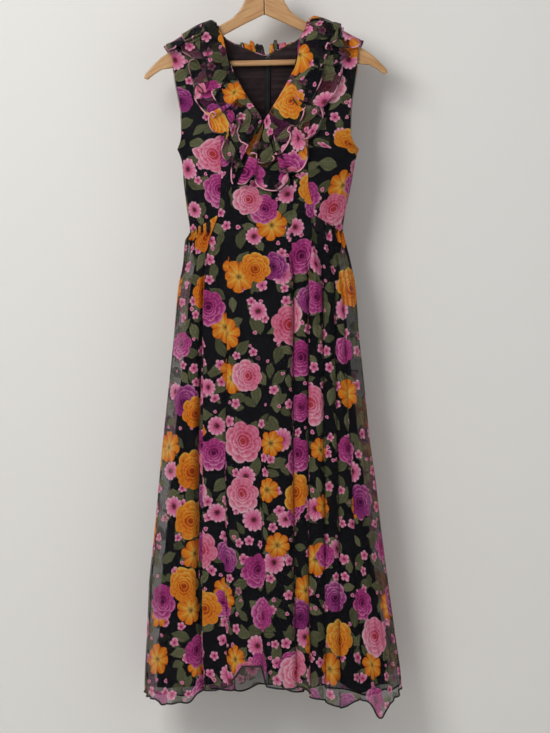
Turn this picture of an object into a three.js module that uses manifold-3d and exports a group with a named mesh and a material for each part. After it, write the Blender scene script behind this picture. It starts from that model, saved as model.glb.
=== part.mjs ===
import * as THREE from 'three';
import { mergeVertices } from 'three/addons/utils/BufferGeometryUtils.js';
import Module from 'manifold-3d';

const wasm = await Module();
wasm.setup();

// Millimetres, +Z up, the dress's front faces -Y. The origin is the inside of the hook's crown.
// Cloth and seams
const cloth = 1.1;
const seamGap = 0.3;
const waistGap = 0.5;
const seatGap = 0.4;
const liningGap = 2.5;
const liningDrop = 18;

// Heights of the main construction lines
const underarmZ = -364;
const waistSideZ = -516;
const waistFrontZ = -484;
const hipZ = -580;
const hemZ = -1350;

// Shoulder
const shoulderRoll = 7;
const shoulderRise = 2.2;
const neckLeftX = -81.7;
const neckRightX = 80;

// Centre back zip
const zipX = 8;
const zipTapeWidth = 9.6;
const zipTopZ = -197;
const zipEndZ = -640;

// Hanger
const hangerTilt = THREE.MathUtils.degToRad(1.3);
const boardThickness = 12;
const boardBevel = 2.5;
const barRadius = 5.2;
const barZ = -206;
const barHalfLength = 168;
const socketClearance = 0.3;
const hookWire = 3.6;
const hookRadius = 22;
const shankX = 0;
const shankSocketZ = -70;

const named = (columns, rows) => rows.map(
  (row) => Object.fromEntries(columns.map((column, i) => [column, row[i]])),
);

// Girth: how far the dress reaches left, right, forward and back of the origin at each height
const girth = named(['z', 'left', 'right', 'front', 'back'], [
  [-120, 224, 234, 16.5, 17],
  [-180, 214, 226, 18, 17.5],
  [-240, 204, 216, 24, 20],
  [-300, 190, 204, 34, 25],
  [-340, 173, 190, 42, 29],
  [-364, 156.5, 175, 46, 32],
  [-387, 148, 168, 48, 33],
  [-423, 144.5, 162, 47, 33],
  [-460, 140, 154.5, 42, 31],
  [-516, 132.2, 145.6, 36, 28],
  [-530, 140, 149, 38, 30],
  [-570, 144, 158.5, 43, 34],
  [-615, 153, 167.4, 48, 38],
  [-706, 161.6, 175.4, 55, 43],
  [-800, 172, 185, 60, 47],
  [-895, 182.4, 195.2, 64, 50],
  [-968, 189, 205, 67, 52],
  [-1062, 196.4, 215.5, 70, 55],
  [-1155, 205.7, 227, 73, 57],
  [-1250, 209.9, 240, 75, 59],
  [-1317, 213.4, 250, 76, 60],
  [-1400, 214.5, 256, 77, 60],
]);

// Armhole edge: its reach from the centre, seen from the front
const armhole = named(['z', 'left', 'right'], [
  [-166, 172, 175],
  [-178, 170.7, 173.3],
  [-206, 164.5, 171.8],
  [-238, 159.6, 167],
  [-272, 152.7, 161.5],
  [-300, 148.5, 159.6],
  [-335, 148.5, 159.6],
  [-351, 151, 165],
  [-364, 156.5, 175],
]);

// Neckline edges
const frontNeck = named(['x', 'z'], [
  [-82.5, -136.5],
  [-79.5, -148],
  [-71.5, -165],
  [-62.4, -201],
  [-42, -245],
  [-24, -275.4],
  [1.5, -312],
  [17, -288],
  [34, -260],
  [56, -217.6],
  [60, -199],
  [65, -168],
  [77.5, -143],
  [81, -129],
]);
const backNeck = named(['x', 'z'], [
  [-82.5, -136.5],
  [-79, -147],
  [-67, -160],
  [-45, -171.5],
  [-26.8, -179.3],
  [6.2, -189],
  [34, -178.2],
  [58.4, -164.2],
  [68, -157],
  [77.5, -142],
  [81, -129],
]);

// Seams beside the centre front panel, from the shoulder to the hem
const frontSeams = named(['z', 'left', 'right'], [
  [-120, -109, 117],
  [-240, -98, 104],
  [-312, -80, 86],
  [-360, -76, 82],
  [-423, -76, 82],
  [-484, -82, 92],
  [-530, -96, 88],
  [-580, -104, 86],
  [-650, -108, 86],
  [-1400, -110, 86],
]);

// Where each column of the centre front panel runs, by its reach at four heights
const centreColumns = named(['shoulder', 'bust', 'waist', 'hem'], [
  [-100, -74, -77, -103],
  [-91, -66, -70, -92],
  [-82, -57, -60, -70],
  [-80.4, -54, -57, -65],
  [-71, -48, -53.5, -60],
  [-62, -41, -50, -55],
  [-42, -27, -40, -43],
  [-20, -13, -24, -34],
  [1.5, 1.5, -4, -3],
  [18, 14, 12, 6],
  [30, 26, 27, 28],
  [44, 38, 41, 48],
  [60, 48, 48, 54],
  [70, 53, 51, 58],
  [78.4, 57, 53.5, 61],
  [80, 59.5, 55.5, 63.5],
  [90, 66, 62, 68],
  [99, 75, 74, 76],
]);
const columnHeights = [-140, -312, -484, hemZ];

// Folds of the skirt: where each leaves the waist and meets the hem, its half width at both,
// its depth (troughs below zero, gathered ridges above) and the heights it runs between
const foldColumns = ['waist', 'hem', 'narrow', 'wide', 'depth', 'from', 'to'];
const frontFolds = named(foldColumns, [
  [-122, -150, 4, 24, 5, -516, -1400],
  [-103, -110, 3, 6, -13, -520, -1400],
  [-96, -98, 3, 9, 4, -500, -760],
  [-80, -76, 4, 12, 5, -496, -900],
  [-60, -55, 5, 11, -6, -620, -1400],
  [55, 62, 5, 7, -12, -500, -1400],
  [80, 86, 4, 5, -9, -500, -1400],
  [90, 96, 3, 6, 4, -496, -800],
  [104, 115, 3, 6, -9, -508, -1400],
  [113, 126, 3, 6, 4, -500, -760],
  [124, 141, 3, 6, -8, -520, -1400],
  [136, 178, 4, 15, -5, -560, -1400],
]);
const backFolds = named(foldColumns, [
  [-112, -150, 4, 12, -9, -540, -1400],
  [-88, -98, 3, 7, -10, -540, -1400],
  [-60, -52, 4, 12, -6, -600, -1400],
  [-30, -18, 5, 14, 5, -640, -1400],
  [40, 34, 5, 14, 5, -640, -1400],
  [66, 74, 4, 9, -8, -560, -1400],
  [92, 116, 3, 8, -10, -540, -1400],
  [120, 166, 4, 12, -8, -540, -1400],
]);

// Hem lines
const frontHem = named(['x', 'z'], [
  [-216, -1353],
  [-186, -1370],
  [-160, -1371],
  [-133, -1364],
  [-111, -1346],
  [-88, -1345],
  [-62, -1333],
  [-46, -1324],
  [-34, -1301],
  [-4, -1301],
  [8, -1338],
  [48, -1342],
  [70, -1338],
  [86, -1352],
  [115, -1366],
  [144, -1378],
  [164, -1362],
  [192, -1366],
  [212, -1394],
  [232, -1372],
  [255, -1343],
]);
const backHem = named(['x', 'z'], [
  [-216, -1353],
  [-150, -1362],
  [-98, -1350],
  [-40, -1357],
  [-4, -1342],
  [60, -1356],
  [116, -1347],
  [190, -1360],
  [255, -1343],
]);
const frontLiningHem = named(['x', 'z'], [
  [-190, -1344],
  [-110, -1336],
  [-52, -1318],
  [-36, -1288],
  [-2, -1288],
  [12, -1326],
  [70, -1328],
  [115, -1322],
  [150, -1332],
  [190, -1352],
  [230, -1338],
]);
const backLiningHem = named(['x', 'z'], [
  [-190, -1344],
  [-90, -1318],
  [-30, -1285],
  [20, -1285],
  [90, -1318],
  [230, -1338],
]);

// Neck frill stations: the point on the neckline, the side of the shoulder it lies on (-1 front,
// 1 back), the compass heading of the frill there as seen from the front (0 right, 270 down),
// its full width, and how far it stands up from the cloth under it
const frillColumns = ['x', 'z', 'side', 'heading', 'width', 'crest'];
const frillLeft = named(frillColumns, [
  [0, -312, -1, 243, 108, 0],
  [-6, -303, -1, 232, 92, 0],
  [-15, -290, -1, 222, 80, 0],
  [-26, -274, -1, 213, 76, 0],
  [-44, -244, -1, 205, 75, 0],
  [-64, -201, -1, 197, 64, 0],
  [-73, -160, -1, 195, 78, 4],
  [-83, -136, 1, 205, 97, 9],
  [-69, -159, 1, 215, 86, 5],
  [-47, -173, 1, 238, 84, 4],
  [-28, -181, 1, 255, 84, 10],
  [3.6, -190, 1, 268, 84, 15],
]);
const frillRight = named(frillColumns, [
  [3, -313, -1, 247, 110, 0],
  [4, -312, -1, 262, 118, 0],
  [6, -308, -1, 280, 118, 0],
  [11, -300, -1, 300, 104, 0],
  [19, -287, -1, 322, 84, 0],
  [36, -259, -1, 338, 80, 0],
  [58, -216, -1, 345, 76, 0],
  [66, -180, -1, 344, 78, 2],
  [69, -161, -1, 341, 86, 5],
  [83, -133, 1, 334, 94, 8],
  [70, -158, 1, 325, 86, 5],
  [47, -172, 1, 302, 84, 4],
  [30, -180, 1, 285, 84, 10],
  [12.4, -188, 1, 272, 84, 15],
]);
const frillWaves = 9;
const frillWaveHeight = 10;
const upperWaveHeight = 7;
const frillNeckLift = 4;
const frillRidgeLift = 2;
const frillSeat = 0.8;
const frillShares = [0, 0.24, 0.48, 0.72, 1];
const upperFrillRows = 4;

// A smooth curve through a table's rows, held at its ends
function curve(rows, from, to) {
  const at = rows.map((row) => row[from]);
  const value = rows.map((row) => row[to]);
  const slope = (i) => (value[i + 1] - value[i]) / (at[i + 1] - at[i]);
  const tangent = at.map((_, i) => {
    if (i === 0) return slope(0);
    if (i === at.length - 1) return slope(i - 1);
    const before = slope(i - 1);
    const after = slope(i);
    return before * after <= 0 ? 0 : (2 * before * after) / (before + after);
  });
  const forward = at[at.length - 1] > at[0] ? 1 : -1;
  return (position) => {
    if ((position - at[0]) * forward <= 0) return value[0];
    if ((position - at[at.length - 1]) * forward >= 0) return value[value.length - 1];
    let i = 0;
    while ((position - at[i + 1]) * forward > 0) i += 1;
    const span = at[i + 1] - at[i];
    const t = (position - at[i]) / span;
    const rest = 1 - t;
    return (1 + 2 * t) * rest * rest * value[i]
      + t * rest * rest * span * tangent[i]
      + t * t * (3 - 2 * t) * value[i + 1]
      - t * t * rest * span * tangent[i + 1];
  };
}

// The height at which a rising test changes sign between two heights
function crossing(test, low, high) {
  let below = low;
  let above = high;
  for (let i = 0; i < 40; i += 1) {
    const middle = (below + above) / 2;
    if (test(middle) > 0) above = middle;
    else below = middle;
  }
  return (below + above) / 2;
}

const between = (a, b, t) => a + (b - a) * t;
const ease = (t) => {
  const held = Math.min(Math.max(t, 0), 1);
  return held * held * (3 - 2 * held);
};
const evenly = (count, low = 0, high = 1) => Array.from(
  { length: count },
  (_, i) => between(low, high, i / (count - 1)),
);

const leftReach = curve(girth, 'z', 'left');
const rightReach = curve(girth, 'z', 'right');
const frontDepth = curve(girth, 'z', 'front');
const backDepth = curve(girth, 'z', 'back');
const middleX = (z) => (rightReach(z) - leftReach(z)) / 2;
const halfWidth = (z) => (rightReach(z) + leftReach(z)) / 2;
const angleAt = (x, z) => Math.asin(Math.min(Math.max((x - middleX(z)) / halfWidth(z), -1), 1));
const reachAt = (angle, z) => middleX(z) + halfWidth(z) * Math.sin(angle);

// Hanger outline, right half, from the top of the neck along the arm and back to the inner notch
const hangerOutline = named(['x', 'z'], [
  [0, -57],
  [12, -59],
  [24, -69],
  [33, -84],
  [39, -99],
  [47, -112],
  [60, -124.5],
  [80, -135],
  [125, -157.5],
  [172.7, -181],
  [191, -193],
  [206, -207],
  [220, -222],
  [222, -229],
  [215.5, -232],
  [203, -222],
  [189, -214],
  [169, -211.6],
  [150, -199],
  [120, -179.5],
  [69.8, -151],
  [36, -134],
  [0, -117.5],
]);
const armTip = hangerOutline.findIndex((row) => row.z < -225);
const shoulderRows = hangerOutline.slice(0, armTip).filter((row) => row.x > 45);
const tiltedX = (x, z) => x * Math.cos(hangerTilt) - z * Math.sin(hangerTilt);
const tiltedZ = (x, z) => x * Math.sin(hangerTilt) + z * Math.cos(hangerTilt);
const seamLine = named(['x', 'z'], [
  ...[...shoulderRows].reverse().map((row) => [tiltedX(-row.x, row.z), tiltedZ(-row.x, row.z)]),
  ...shoulderRows.map((row) => [tiltedX(row.x, row.z), tiltedZ(row.x, row.z)]),
]);
const seamHeight = curve(seamLine, 'x', 'z');
const shoulderZ = (x) => seamHeight(x) + shoulderRise;

// How far folds push the cloth out at an angle and height of one side of the dress
function foldRelief(folds, angle, z) {
  return folds.reduce((sum, fold) => {
    if (z > fold.from || z < fold.to) return sum;
    const run = Math.min((waistFrontZ - z) / (waistFrontZ - hemZ), 1);
    const centre = between(angleAt(fold.waist, waistFrontZ), angleAt(fold.hem, hemZ), run);
    const spread = between(fold.narrow, fold.wide, Math.max(run, 0));
    const away = ((angle - centre) * halfWidth(z)) / spread;
    const rampLength = fold.depth < 0 ? 130 : 30;
    const start = ease((fold.from - z) / rampLength);
    const end = fold.to < -1390 ? 1 : ease((z - fold.to) / 120);
    return sum + fold.depth * start * end * Math.exp(-0.5 * away * away);
  }, 0);
}

// A point of the dress's outer face: angle from -90 degrees at the left side seam to 90 at the
// right, height, side (-1 front, 1 back) and how far inside the outer face it lies
function dressPoint(angle, z, side, inset = 0, folded = true) {
  const depth = (side < 0 ? frontDepth(z) : backDepth(z)) - inset;
  const wide = halfWidth(z) - inset;
  const outX = Math.sin(angle) / wide;
  const outY = Math.cos(angle) / depth;
  const relief = folded ? foldRelief(side < 0 ? frontFolds : backFolds, angle, z) : 0;
  const push = relief / Math.hypot(outX, outY);
  const x = middleX(z) + wide * Math.sin(angle) + push * outX;
  const below = Math.min(Math.max((shoulderZ(x) - inset - z) / shoulderRoll, 0), 1);
  const roll = Math.sqrt(1 - (1 - below) ** 2);
  const y = (depth * Math.cos(angle) + push * outY) * roll;
  return new THREE.Vector3(x, side * (seamGap / 2 + y), z);
}

// A closed wall from a grid of outer points and the matching inner points
function wallGeometry(outer, inner) {
  const rows = outer.length;
  const columns = outer[0].length;
  const layer = rows * columns;
  const positions = [...outer.flat(), ...inner.flat()].flatMap((point) => point.toArray());
  const faces = [];
  const quad = (a, b, c, d) => faces.push(a, b, c, a, c, d);
  for (let i = 0; i < rows - 1; i += 1) {
    for (let j = 0; j < columns - 1; j += 1) {
      const a = i * columns + j;
      const b = a + columns;
      quad(a, b, b + 1, a + 1);
      quad(layer + a, layer + a + 1, layer + b + 1, layer + b);
    }
  }
  const rimQuad = (a, b, turned) => {
    if (turned) faces.push(a, layer + b, b, a, layer + a, layer + b);
    else faces.push(a, b, layer + b, a, layer + b, layer + a);
  };
  const foot = (rows - 1) * columns;
  for (let j = 0; j < columns - 1; j += 1) {
    rimQuad(j, j + 1, false);
    rimQuad(foot + j, foot + j + 1, true);
  }
  for (let i = 0; i < rows - 1; i += 1) {
    rimQuad(i * columns, (i + 1) * columns, true);
    rimQuad((i + 1) * columns - 1, (i + 2) * columns - 1, false);
  }
  const geometry = new THREE.BufferGeometry();
  geometry.setAttribute('position', new THREE.Float32BufferAttribute(positions, 3));
  geometry.setIndex(faces);
  return facingOut(geometry);
}

// The height at a row between named heights
function atRow(heights, row) {
  const held = Math.min(Math.max(row, 0), heights.length - 1);
  const i = Math.min(Math.floor(held), heights.length - 2);
  return between(heights[i], heights[i + 1], held - i);
}

// Turns a closed geometry's faces outwards where its volume comes out negative
function facingOut(geometry) {
  const position = geometry.getAttribute('position');
  const index = geometry.getIndex().array;
  const corner = [new THREE.Vector3(), new THREE.Vector3(), new THREE.Vector3()];
  let volume = 0;
  for (let i = 0; i < index.length; i += 3) {
    corner.forEach((point, k) => point.fromBufferAttribute(position, index[i + k]));
    volume += corner[0].dot(corner[1].clone().cross(corner[2]));
  }
  if (volume < 0) {
    for (let i = 0; i < index.length; i += 3) {
      const first = index[i];
      index[i] = index[i + 1];
      index[i + 1] = first;
    }
  }
  return geometry;
}

// A wall of even thickness inside a surface given over two shares from 0 to 1, left to right
// and down, on the front (-1) or the back (1)
function clothWall(surface, down, across, side, thickness = cloth) {
  const step = 0.0004;
  const outer = down.map((v) => across.map((u) => surface(u, v)));
  const inner = down.map((v, i) => across.map((u, j) => {
    const acrossSurface = surface(u + step, v).sub(surface(u - step, v));
    const downSurface = surface(u, v + step).sub(surface(u, v - (v > step ? step : 0)));
    const inwards = downSurface.cross(acrossSurface).normalize().multiplyScalar(side * thickness);
    return outer[i][j].clone().add(inwards);
  }));
  return wallGeometry(outer, inner);
}

const materials = {
  chiffon: { color: 0x2a2b33, roughness: 0.75, metalness: 0 },
  frill: { color: 0x6b3a58, roughness: 0.75, metalness: 0 },
  satin: { color: 0x3a2729, roughness: 0.4, metalness: 0 },
  lining: { color: 0x121217, roughness: 0.6, metalness: 0 },
  tape: { color: 0x1d2120, roughness: 0.7, metalness: 0 },
  zipMetal: { color: 0x26272a, roughness: 0.4, metalness: 0.6 },
  steel: { color: 0xb9babc, roughness: 0.25, metalness: 1 },
  wood: { color: 0xc99a66, roughness: 0.55, metalness: 0 },
};

const dress = new THREE.Group();
const hanger = new THREE.Group();
hanger.rotation.y = -hangerTilt;

function addPiece(name, geometry, material, group = dress) {
  const piece = new THREE.Mesh(geometry, new THREE.MeshStandardMaterial(materials[material]));
  piece.name = name;
  group.add(piece);
  return piece;
}

// Heights of a bodice column: down over the shoulder's roll, to the underarm, then to its foot
const rollDrops = [0, 0.5, 2, 4.5, shoulderRoll];
const armRows = 6;
const waistRows = 4;
const bodiceRows = rollDrops.length - 1 + armRows + waistRows;

function bodiceHeights(topZ, footZ) {
  return [
    ...rollDrops.map((drop) => topZ - drop),
    ...evenly(armRows + 1, topZ - shoulderRoll, underarmZ).slice(1),
    ...evenly(waistRows + 1, underarmZ, footZ).slice(1),
  ];
}

// A panel between two edges given as angles by height, with its own top and bottom lines
function bodicePanel({ side, edgeLow, edgeHigh, columns, top, foot, inset = 0 }) {
  const angle = (u, z) => between(edgeLow(z), edgeHigh(z), u);
  const xAt = (u, z) => reachAt(angle(u, z), z);
  const surface = (u, v) => {
    const topZ = crossing((z) => z - top(xAt(u, z)), -330, -100);
    const z = atRow(bodiceHeights(topZ, foot(u, xAt)), v * bodiceRows);
    return dressPoint(angle(u, z), z, side, inset, false);
  };
  return clothWall(surface, evenly(bodiceRows + 1), columns, side);
}

// Seam angles, moved aside by half a seam's gap
const beside = (x, z, way) => angleAt(x + (way * seamGap) / 2, z);
const leftSeamX = curve(frontSeams, 'z', 'left');
const rightSeamX = curve(frontSeams, 'z', 'right');
const armholeReach = {
  left: curve(armhole, 'z', 'left'),
  right: curve(armhole, 'z', 'right'),
};
const armholeTip = armhole[0].z;
const backArmholeEase = 3;

function outerEdge(hand, side) {
  const sign = hand === 'left' ? -1 : 1;
  return (z) => {
    if (z <= underarmZ) return (sign * Math.PI) / 2;
    const share = Math.min((z - underarmZ) / (armholeTip - underarmZ), 1);
    const swell = side > 0 ? backArmholeEase * Math.sin(Math.PI * share) : 0;
    return angleAt(sign * (armholeReach[hand](z) + swell), z);
  };
}

// The waist seam of the front, straight in stretches
function waistZ(x) {
  const leftRun = (leftSeamX(waistFrontZ) - x) / (leftReach(waistSideZ) + leftSeamX(waistFrontZ));
  const rightRun = (x - rightSeamX(waistFrontZ)) / (rightReach(waistSideZ) - rightSeamX(waistFrontZ));
  return between(waistFrontZ, waistSideZ, Math.min(Math.max(leftRun, rightRun, 0), 1));
}

// The height where a panel's column meets the waist seam
const waistCrossing = (u, xAt) => crossing((z) => z - waistZ(xAt(u, z)), -530, -470);

// Columns of a side front bodice, closer together towards the side seam
const sideColumns = [0, 0.06, 0.14, 0.27, 0.44, 0.62, 0.81, 1];

function addSideFront(hand) {
  const low = hand === 'left' ? outerEdge('left', -1) : (z) => beside(rightSeamX(z), z, 1);
  const high = hand === 'left' ? (z) => beside(leftSeamX(z), z, -1) : outerEdge('right', -1);
  const geometry = bodicePanel({
    side: -1,
    edgeLow: low,
    edgeHigh: high,
    columns: hand === 'left' ? sideColumns : sideColumns.map((share) => 1 - share).reverse(),
    top: shoulderZ,
    foot: (u, xAt) => waistCrossing(u, xAt) + waistGap / 2,
  });
  addPiece(`front_side_bodice_${hand}`, geometry, 'chiffon');
}

// Where the skirt's rows lie between the waist and the hem
const skirtRows = [
  0, 0.017, 0.05, 0.1, 0.17, 0.25, 0.33, 0.41, 0.49, 0.57, 0.65, 0.73, 0.81, 0.88, 0.94, 1,
];

// The centre front: its columns run from the shoulder or the V neck to the hem in one piece
function addCentreFront() {
  const frontNeckZ = curve(frontNeck, 'x', 'z');
  const hem = curve(frontHem, 'x', 'z');
  const angles = centreColumns.map((row) => ['shoulder', 'bust', 'waist', 'hem'].map(
    (place, i) => angleAt(row[place], columnHeights[i]),
  ));
  const lastColumn = angles.length + 1;
  const columnAt = (column, z) => {
    if (column === 0) return beside(leftSeamX(z), z, 1);
    if (column === lastColumn) return beside(rightSeamX(z), z, -1);
    const i = columnHeights.findIndex((height, k) => k === 2 || z >= columnHeights[k + 1]);
    const t = (z - columnHeights[i]) / (columnHeights[i + 1] - columnHeights[i]);
    return between(angles[column - 1][i], angles[column - 1][i + 1], Math.min(t, 1));
  };
  const angle = (u, z) => {
    const place = u * lastColumn;
    const j = Math.min(Math.max(Math.floor(place), 0), lastColumn - 1);
    return between(columnAt(j, z), columnAt(j + 1, z), place - j);
  };
  const xAt = (u, z) => reachAt(angle(u, z), z);
  const top = (x) => (x < neckLeftX || x > neckRightX ? shoulderZ(x) : frontNeckZ(x));
  const rows = bodiceRows + skirtRows.length - 1;
  const surface = (u, v) => {
    const topZ = crossing((z) => z - top(xAt(u, z)), -330, -100);
    const footZ = crossing((z) => z - hem(xAt(u, z)), -1420, -1250);
    const heights = [
      ...bodiceHeights(topZ, waistFrontZ),
      ...skirtRows.slice(1).map((share) => between(waistFrontZ, footZ, share)),
    ];
    const z = atRow(heights, v * rows);
    return dressPoint(angle(u, z), z, -1);
  };
  const columns = evenly(lastColumn + 1);
  addPiece('front_centre_panel', clothWall(surface, evenly(rows + 1), columns, -1), 'chiffon');
}

function addBackBodice(hand) {
  const backNeckZ = curve(backNeck, 'x', 'z');
  const top = (x) => (x < neckLeftX || x > neckRightX ? shoulderZ(x) : backNeckZ(x));
  const zipEdge = (way) => (z) => beside(zipX, z, way);
  const leftHand = hand === 'left';
  const edgeLow = leftHand ? outerEdge('left', 1) : zipEdge(1);
  const edgeHigh = leftHand ? zipEdge(-1) : outerEdge('right', 1);
  const neckX = leftHand ? neckLeftX : neckRightX;
  const neckZ = shoulderZ(neckX);
  const neckShare = (angleAt(neckX, neckZ) - edgeLow(neckZ)) / (edgeHigh(neckZ) - edgeLow(neckZ));
  const shoulderShares = leftHand ? [0, 0.2, 0.38] : [1, 0.82, 0.64];
  const neckShares = [-0.004, 0.012, 0.06, 0.13, 0.24, 0.34];
  const inwards = leftHand ? 1 : -1;
  const columns = [
    ...shoulderShares,
    ...neckShares.map((share) => neckShare + inwards * share),
    leftHand ? 1 : 0,
  ].sort((a, b) => a - b);
  const shape = { side: 1, edgeLow, edgeHigh, columns, top, foot: () => waistSideZ + seamGap / 2 };
  addPiece(`back_bodice_${hand}`, bodicePanel(shape), 'chiffon');
  const lining = {
    ...shape,
    inset: liningGap,
    top: (x) => Math.min(top(x) - liningGap, shoulderZ(x) - shoulderRoll - 2),
  };
  addPiece(`back_bodice_lining_${hand}`, bodicePanel(lining), 'satin');
}

// A skirt panel between two edge angles by height, from its waist line to its hem
function skirtPanel({ side, columns, columnAngle, top, hem, rows, inset = () => 0, folded = true }) {
  const xAt = (u, z) => reachAt(columnAngle(u, z), z);
  const surface = (u, v) => {
    const footZ = crossing((z) => z - hem(xAt(u, z)), -1420, -1250);
    const heights = rows.map((share) => between(top(u, xAt), footZ, share));
    const z = atRow(heights, v * (rows.length - 1));
    return dressPoint(columnAngle(u, z), z, side, inset(z), folded);
  };
  return clothWall(surface, evenly(rows.length), columns, side);
}

// Columns that follow the folds, on both flanks of each, and halfway over wide stretches
const widestColumn = 18;
const widestTurn = 0.14;
function foldedColumns(folds, low, high) {
  const marks = [low, high];
  folds.forEach((fold) => {
    [-1.7, -0.6, 0.6, 1.7].forEach((away) => marks.push({
      waist: fold.waist + away * fold.narrow,
      hem: fold.hem + away * fold.wide,
    }));
  });
  const inside = marks.filter((mark) => mark.hem >= low.hem && mark.hem <= high.hem
    && mark.waist >= low.waist && mark.waist <= high.waist);
  inside.sort((a, b) => a.hem - b.hem);
  const kept = [];
  inside.forEach((mark) => {
    const last = kept[kept.length - 1];
    if (!last || (mark.hem - last.hem > 4.5 && mark.waist - last.waist > 0.8)) kept.push(mark);
    else if (mark === high) kept[kept.length - 1] = high;
  });
  return kept.flatMap((mark, i) => {
    const next = kept[i + 1];
    if (!next) return [mark];
    const waist = [angleAt(mark.waist, waistSideZ), angleAt(next.waist, waistSideZ)];
    const foot = [angleAt(mark.hem, hemZ), angleAt(next.hem, hemZ)];
    const parts = Math.max(
      Math.ceil((next.hem - mark.hem) / widestColumn),
      Math.ceil((waist[1] - waist[0]) / widestTurn),
    );
    return evenly(parts + 1).slice(0, parts).map((share) => ({
      waist: reachAt(between(...waist, share), waistSideZ),
      hem: reachAt(between(...foot, share), hemZ),
    }));
  });
}

// The angle of a column at a height, between its waist and hem places
function trackedAngle(marks, edgeLow, edgeHigh) {
  return (u, z) => {
    const low = edgeLow(z);
    const high = edgeHigh(z);
    const place = Math.min(Math.max(u, 0), 1) * (marks.length - 1);
    const j = Math.min(Math.floor(place), marks.length - 2);
    const run = Math.min(Math.max((waistFrontZ - z) / (waistFrontZ - hemZ), 0), 1);
    const first = marks[0];
    const last = marks[marks.length - 1];
    const share = (mark) => between(
      (angleAt(mark.waist, waistSideZ) - angleAt(first.waist, waistSideZ))
        / (angleAt(last.waist, waistSideZ) - angleAt(first.waist, waistSideZ)),
      (angleAt(mark.hem, hemZ) - angleAt(first.hem, hemZ))
        / (angleAt(last.hem, hemZ) - angleAt(first.hem, hemZ)),
      run,
    );
    const t = between(share(marks[j]), share(marks[j + 1]), place - j);
    return between(low, high, t + (u - Math.min(Math.max(u, 0), 1)));
  };
}

const sideSeamAngle = Math.PI / 2;

function addSideSkirt(hand) {
  const leftHand = hand === 'left';
  const seamX = leftHand ? leftSeamX : rightSeamX;
  const seam = { waist: seamX(waistFrontZ), hem: seamX(hemZ) };
  const side = leftHand
    ? { waist: -leftReach(waistSideZ), hem: -leftReach(hemZ) }
    : { waist: rightReach(waistSideZ), hem: rightReach(hemZ) };
  const marks = foldedColumns(frontFolds, leftHand ? side : seam, leftHand ? seam : side);
  const edgeLow = leftHand ? () => -sideSeamAngle : (z) => beside(seamX(z), z, 1);
  const edgeHigh = leftHand ? (z) => beside(seamX(z), z, -1) : () => sideSeamAngle;
  const geometry = skirtPanel({
    side: -1,
    columns: evenly(marks.length),
    columnAngle: trackedAngle(marks, edgeLow, edgeHigh),
    top: (u, xAt) => waistCrossing(u, xAt) - waistGap / 2,
    hem: curve(frontHem, 'x', 'z'),
    rows: skirtRows,
  });
  addPiece(`front_side_skirt_${hand}`, geometry, 'chiffon');
}

function addBackSkirt(hand) {
  const leftHand = hand === 'left';
  const zip = { waist: zipX, hem: zipX };
  const side = leftHand
    ? { waist: -leftReach(waistSideZ), hem: -leftReach(hemZ) }
    : { waist: rightReach(waistSideZ), hem: rightReach(hemZ) };
  const marks = foldedColumns(backFolds, leftHand ? side : zip, leftHand ? zip : side);
  const geometry = skirtPanel({
    side: 1,
    columns: evenly(marks.length),
    columnAngle: trackedAngle(
      marks,
      leftHand ? () => -sideSeamAngle : (z) => beside(zipX, z, 1),
      leftHand ? (z) => beside(zipX, z, -1) : () => sideSeamAngle,
    ),
    top: () => waistSideZ - waistGap / 2,
    hem: curve(backHem, 'x', 'z'),
    rows: skirtRows,
  });
  addPiece(`back_skirt_${hand}`, geometry, 'chiffon');
}

// The lining hangs from the waist seam and falls away inside the skirt's folds
const liningInset = (z) => liningGap
  + liningDrop * ease((waistSideZ - z) / (waistSideZ - hipZ));

const tapeLiningRows = 7;
const liningRows = [0, 0.012, 0.028, 0.044, 0.06, 0.08, 0.12, 0.2, 0.32, 0.45, 0.6, 0.75, 0.88, 1];

function addSkirtLining(name, side, hemRows) {
  const geometry = skirtPanel({
    side,
    columns: evenly(13),
    columnAngle: (u) => between(-sideSeamAngle, sideSeamAngle, u),
    top: () => waistSideZ - waistGap / 2,
    hem: curve(hemRows, 'x', 'z'),
    rows: liningRows,
    inset: liningInset,
    folded: false,
  });
  addPiece(name, geometry, 'lining');
}

// The frill's stations joined by smooth curves over shares of its length from 0 to 1
function frillCourse(rows) {
  const stations = rows.map((row, i) => {
    const heading = THREE.MathUtils.degToRad(row.heading);
    const run = row.width * Math.cos(heading);
    const sink = (shoulderZ(row.x + run) - shoulderZ(row.x)) / row.width;
    return {
      share: i / (rows.length - 1),
      x: row.x,
      fall: row.side * Math.max(shoulderZ(row.x) - row.z, 0),
      outX: Math.cos(heading),
      outFall: row.side * (sink - Math.sin(heading)),
      width: row.width,
      crest: row.crest,
    };
  });
  const course = {};
  ['x', 'fall', 'outX', 'outFall', 'width', 'crest'].forEach((key) => {
    course[key] = curve(stations, 'share', key);
  });
  return course;
}

// Shares along a frill: even between its stations, closer together over the shoulder
const openSteps = [0, 0.25, 0.5, 0.75];
const beforeShoulder = [0, 0.3, 0.52, 0.7, 0.82, 0.92];
const afterShoulder = [0, 0.08, 0.18, 0.3, 0.48, 0.7];

function frillSharesAlong(rows) {
  const shoulder = rows.findIndex((row) => row.side > 0);
  const shares = rows.slice(1).flatMap((_, i) => {
    const steps = { [shoulder - 1]: beforeShoulder, [shoulder]: afterShoulder }[i] ?? openSteps;
    return steps.map((step) => (i + step) / (rows.length - 1));
  });
  return [...shares, 1];
}

// A point of the dress by its reach and its fall from the shoulder line (below zero in front)
function shoulderPoint(x, fall) {
  const side = fall < 0 ? -1 : 1;
  const roundedFall = Math.abs(fall) < shoulderRoll
    ? shoulderRoll * (1 - Math.cos((Math.abs(fall) / shoulderRoll) * (Math.PI / 2)))
    : Math.abs(fall);
  const z = shoulderZ(x) - roundedFall;
  return dressPoint(angleAt(x, z), z, side, 0, false);
}

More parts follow.
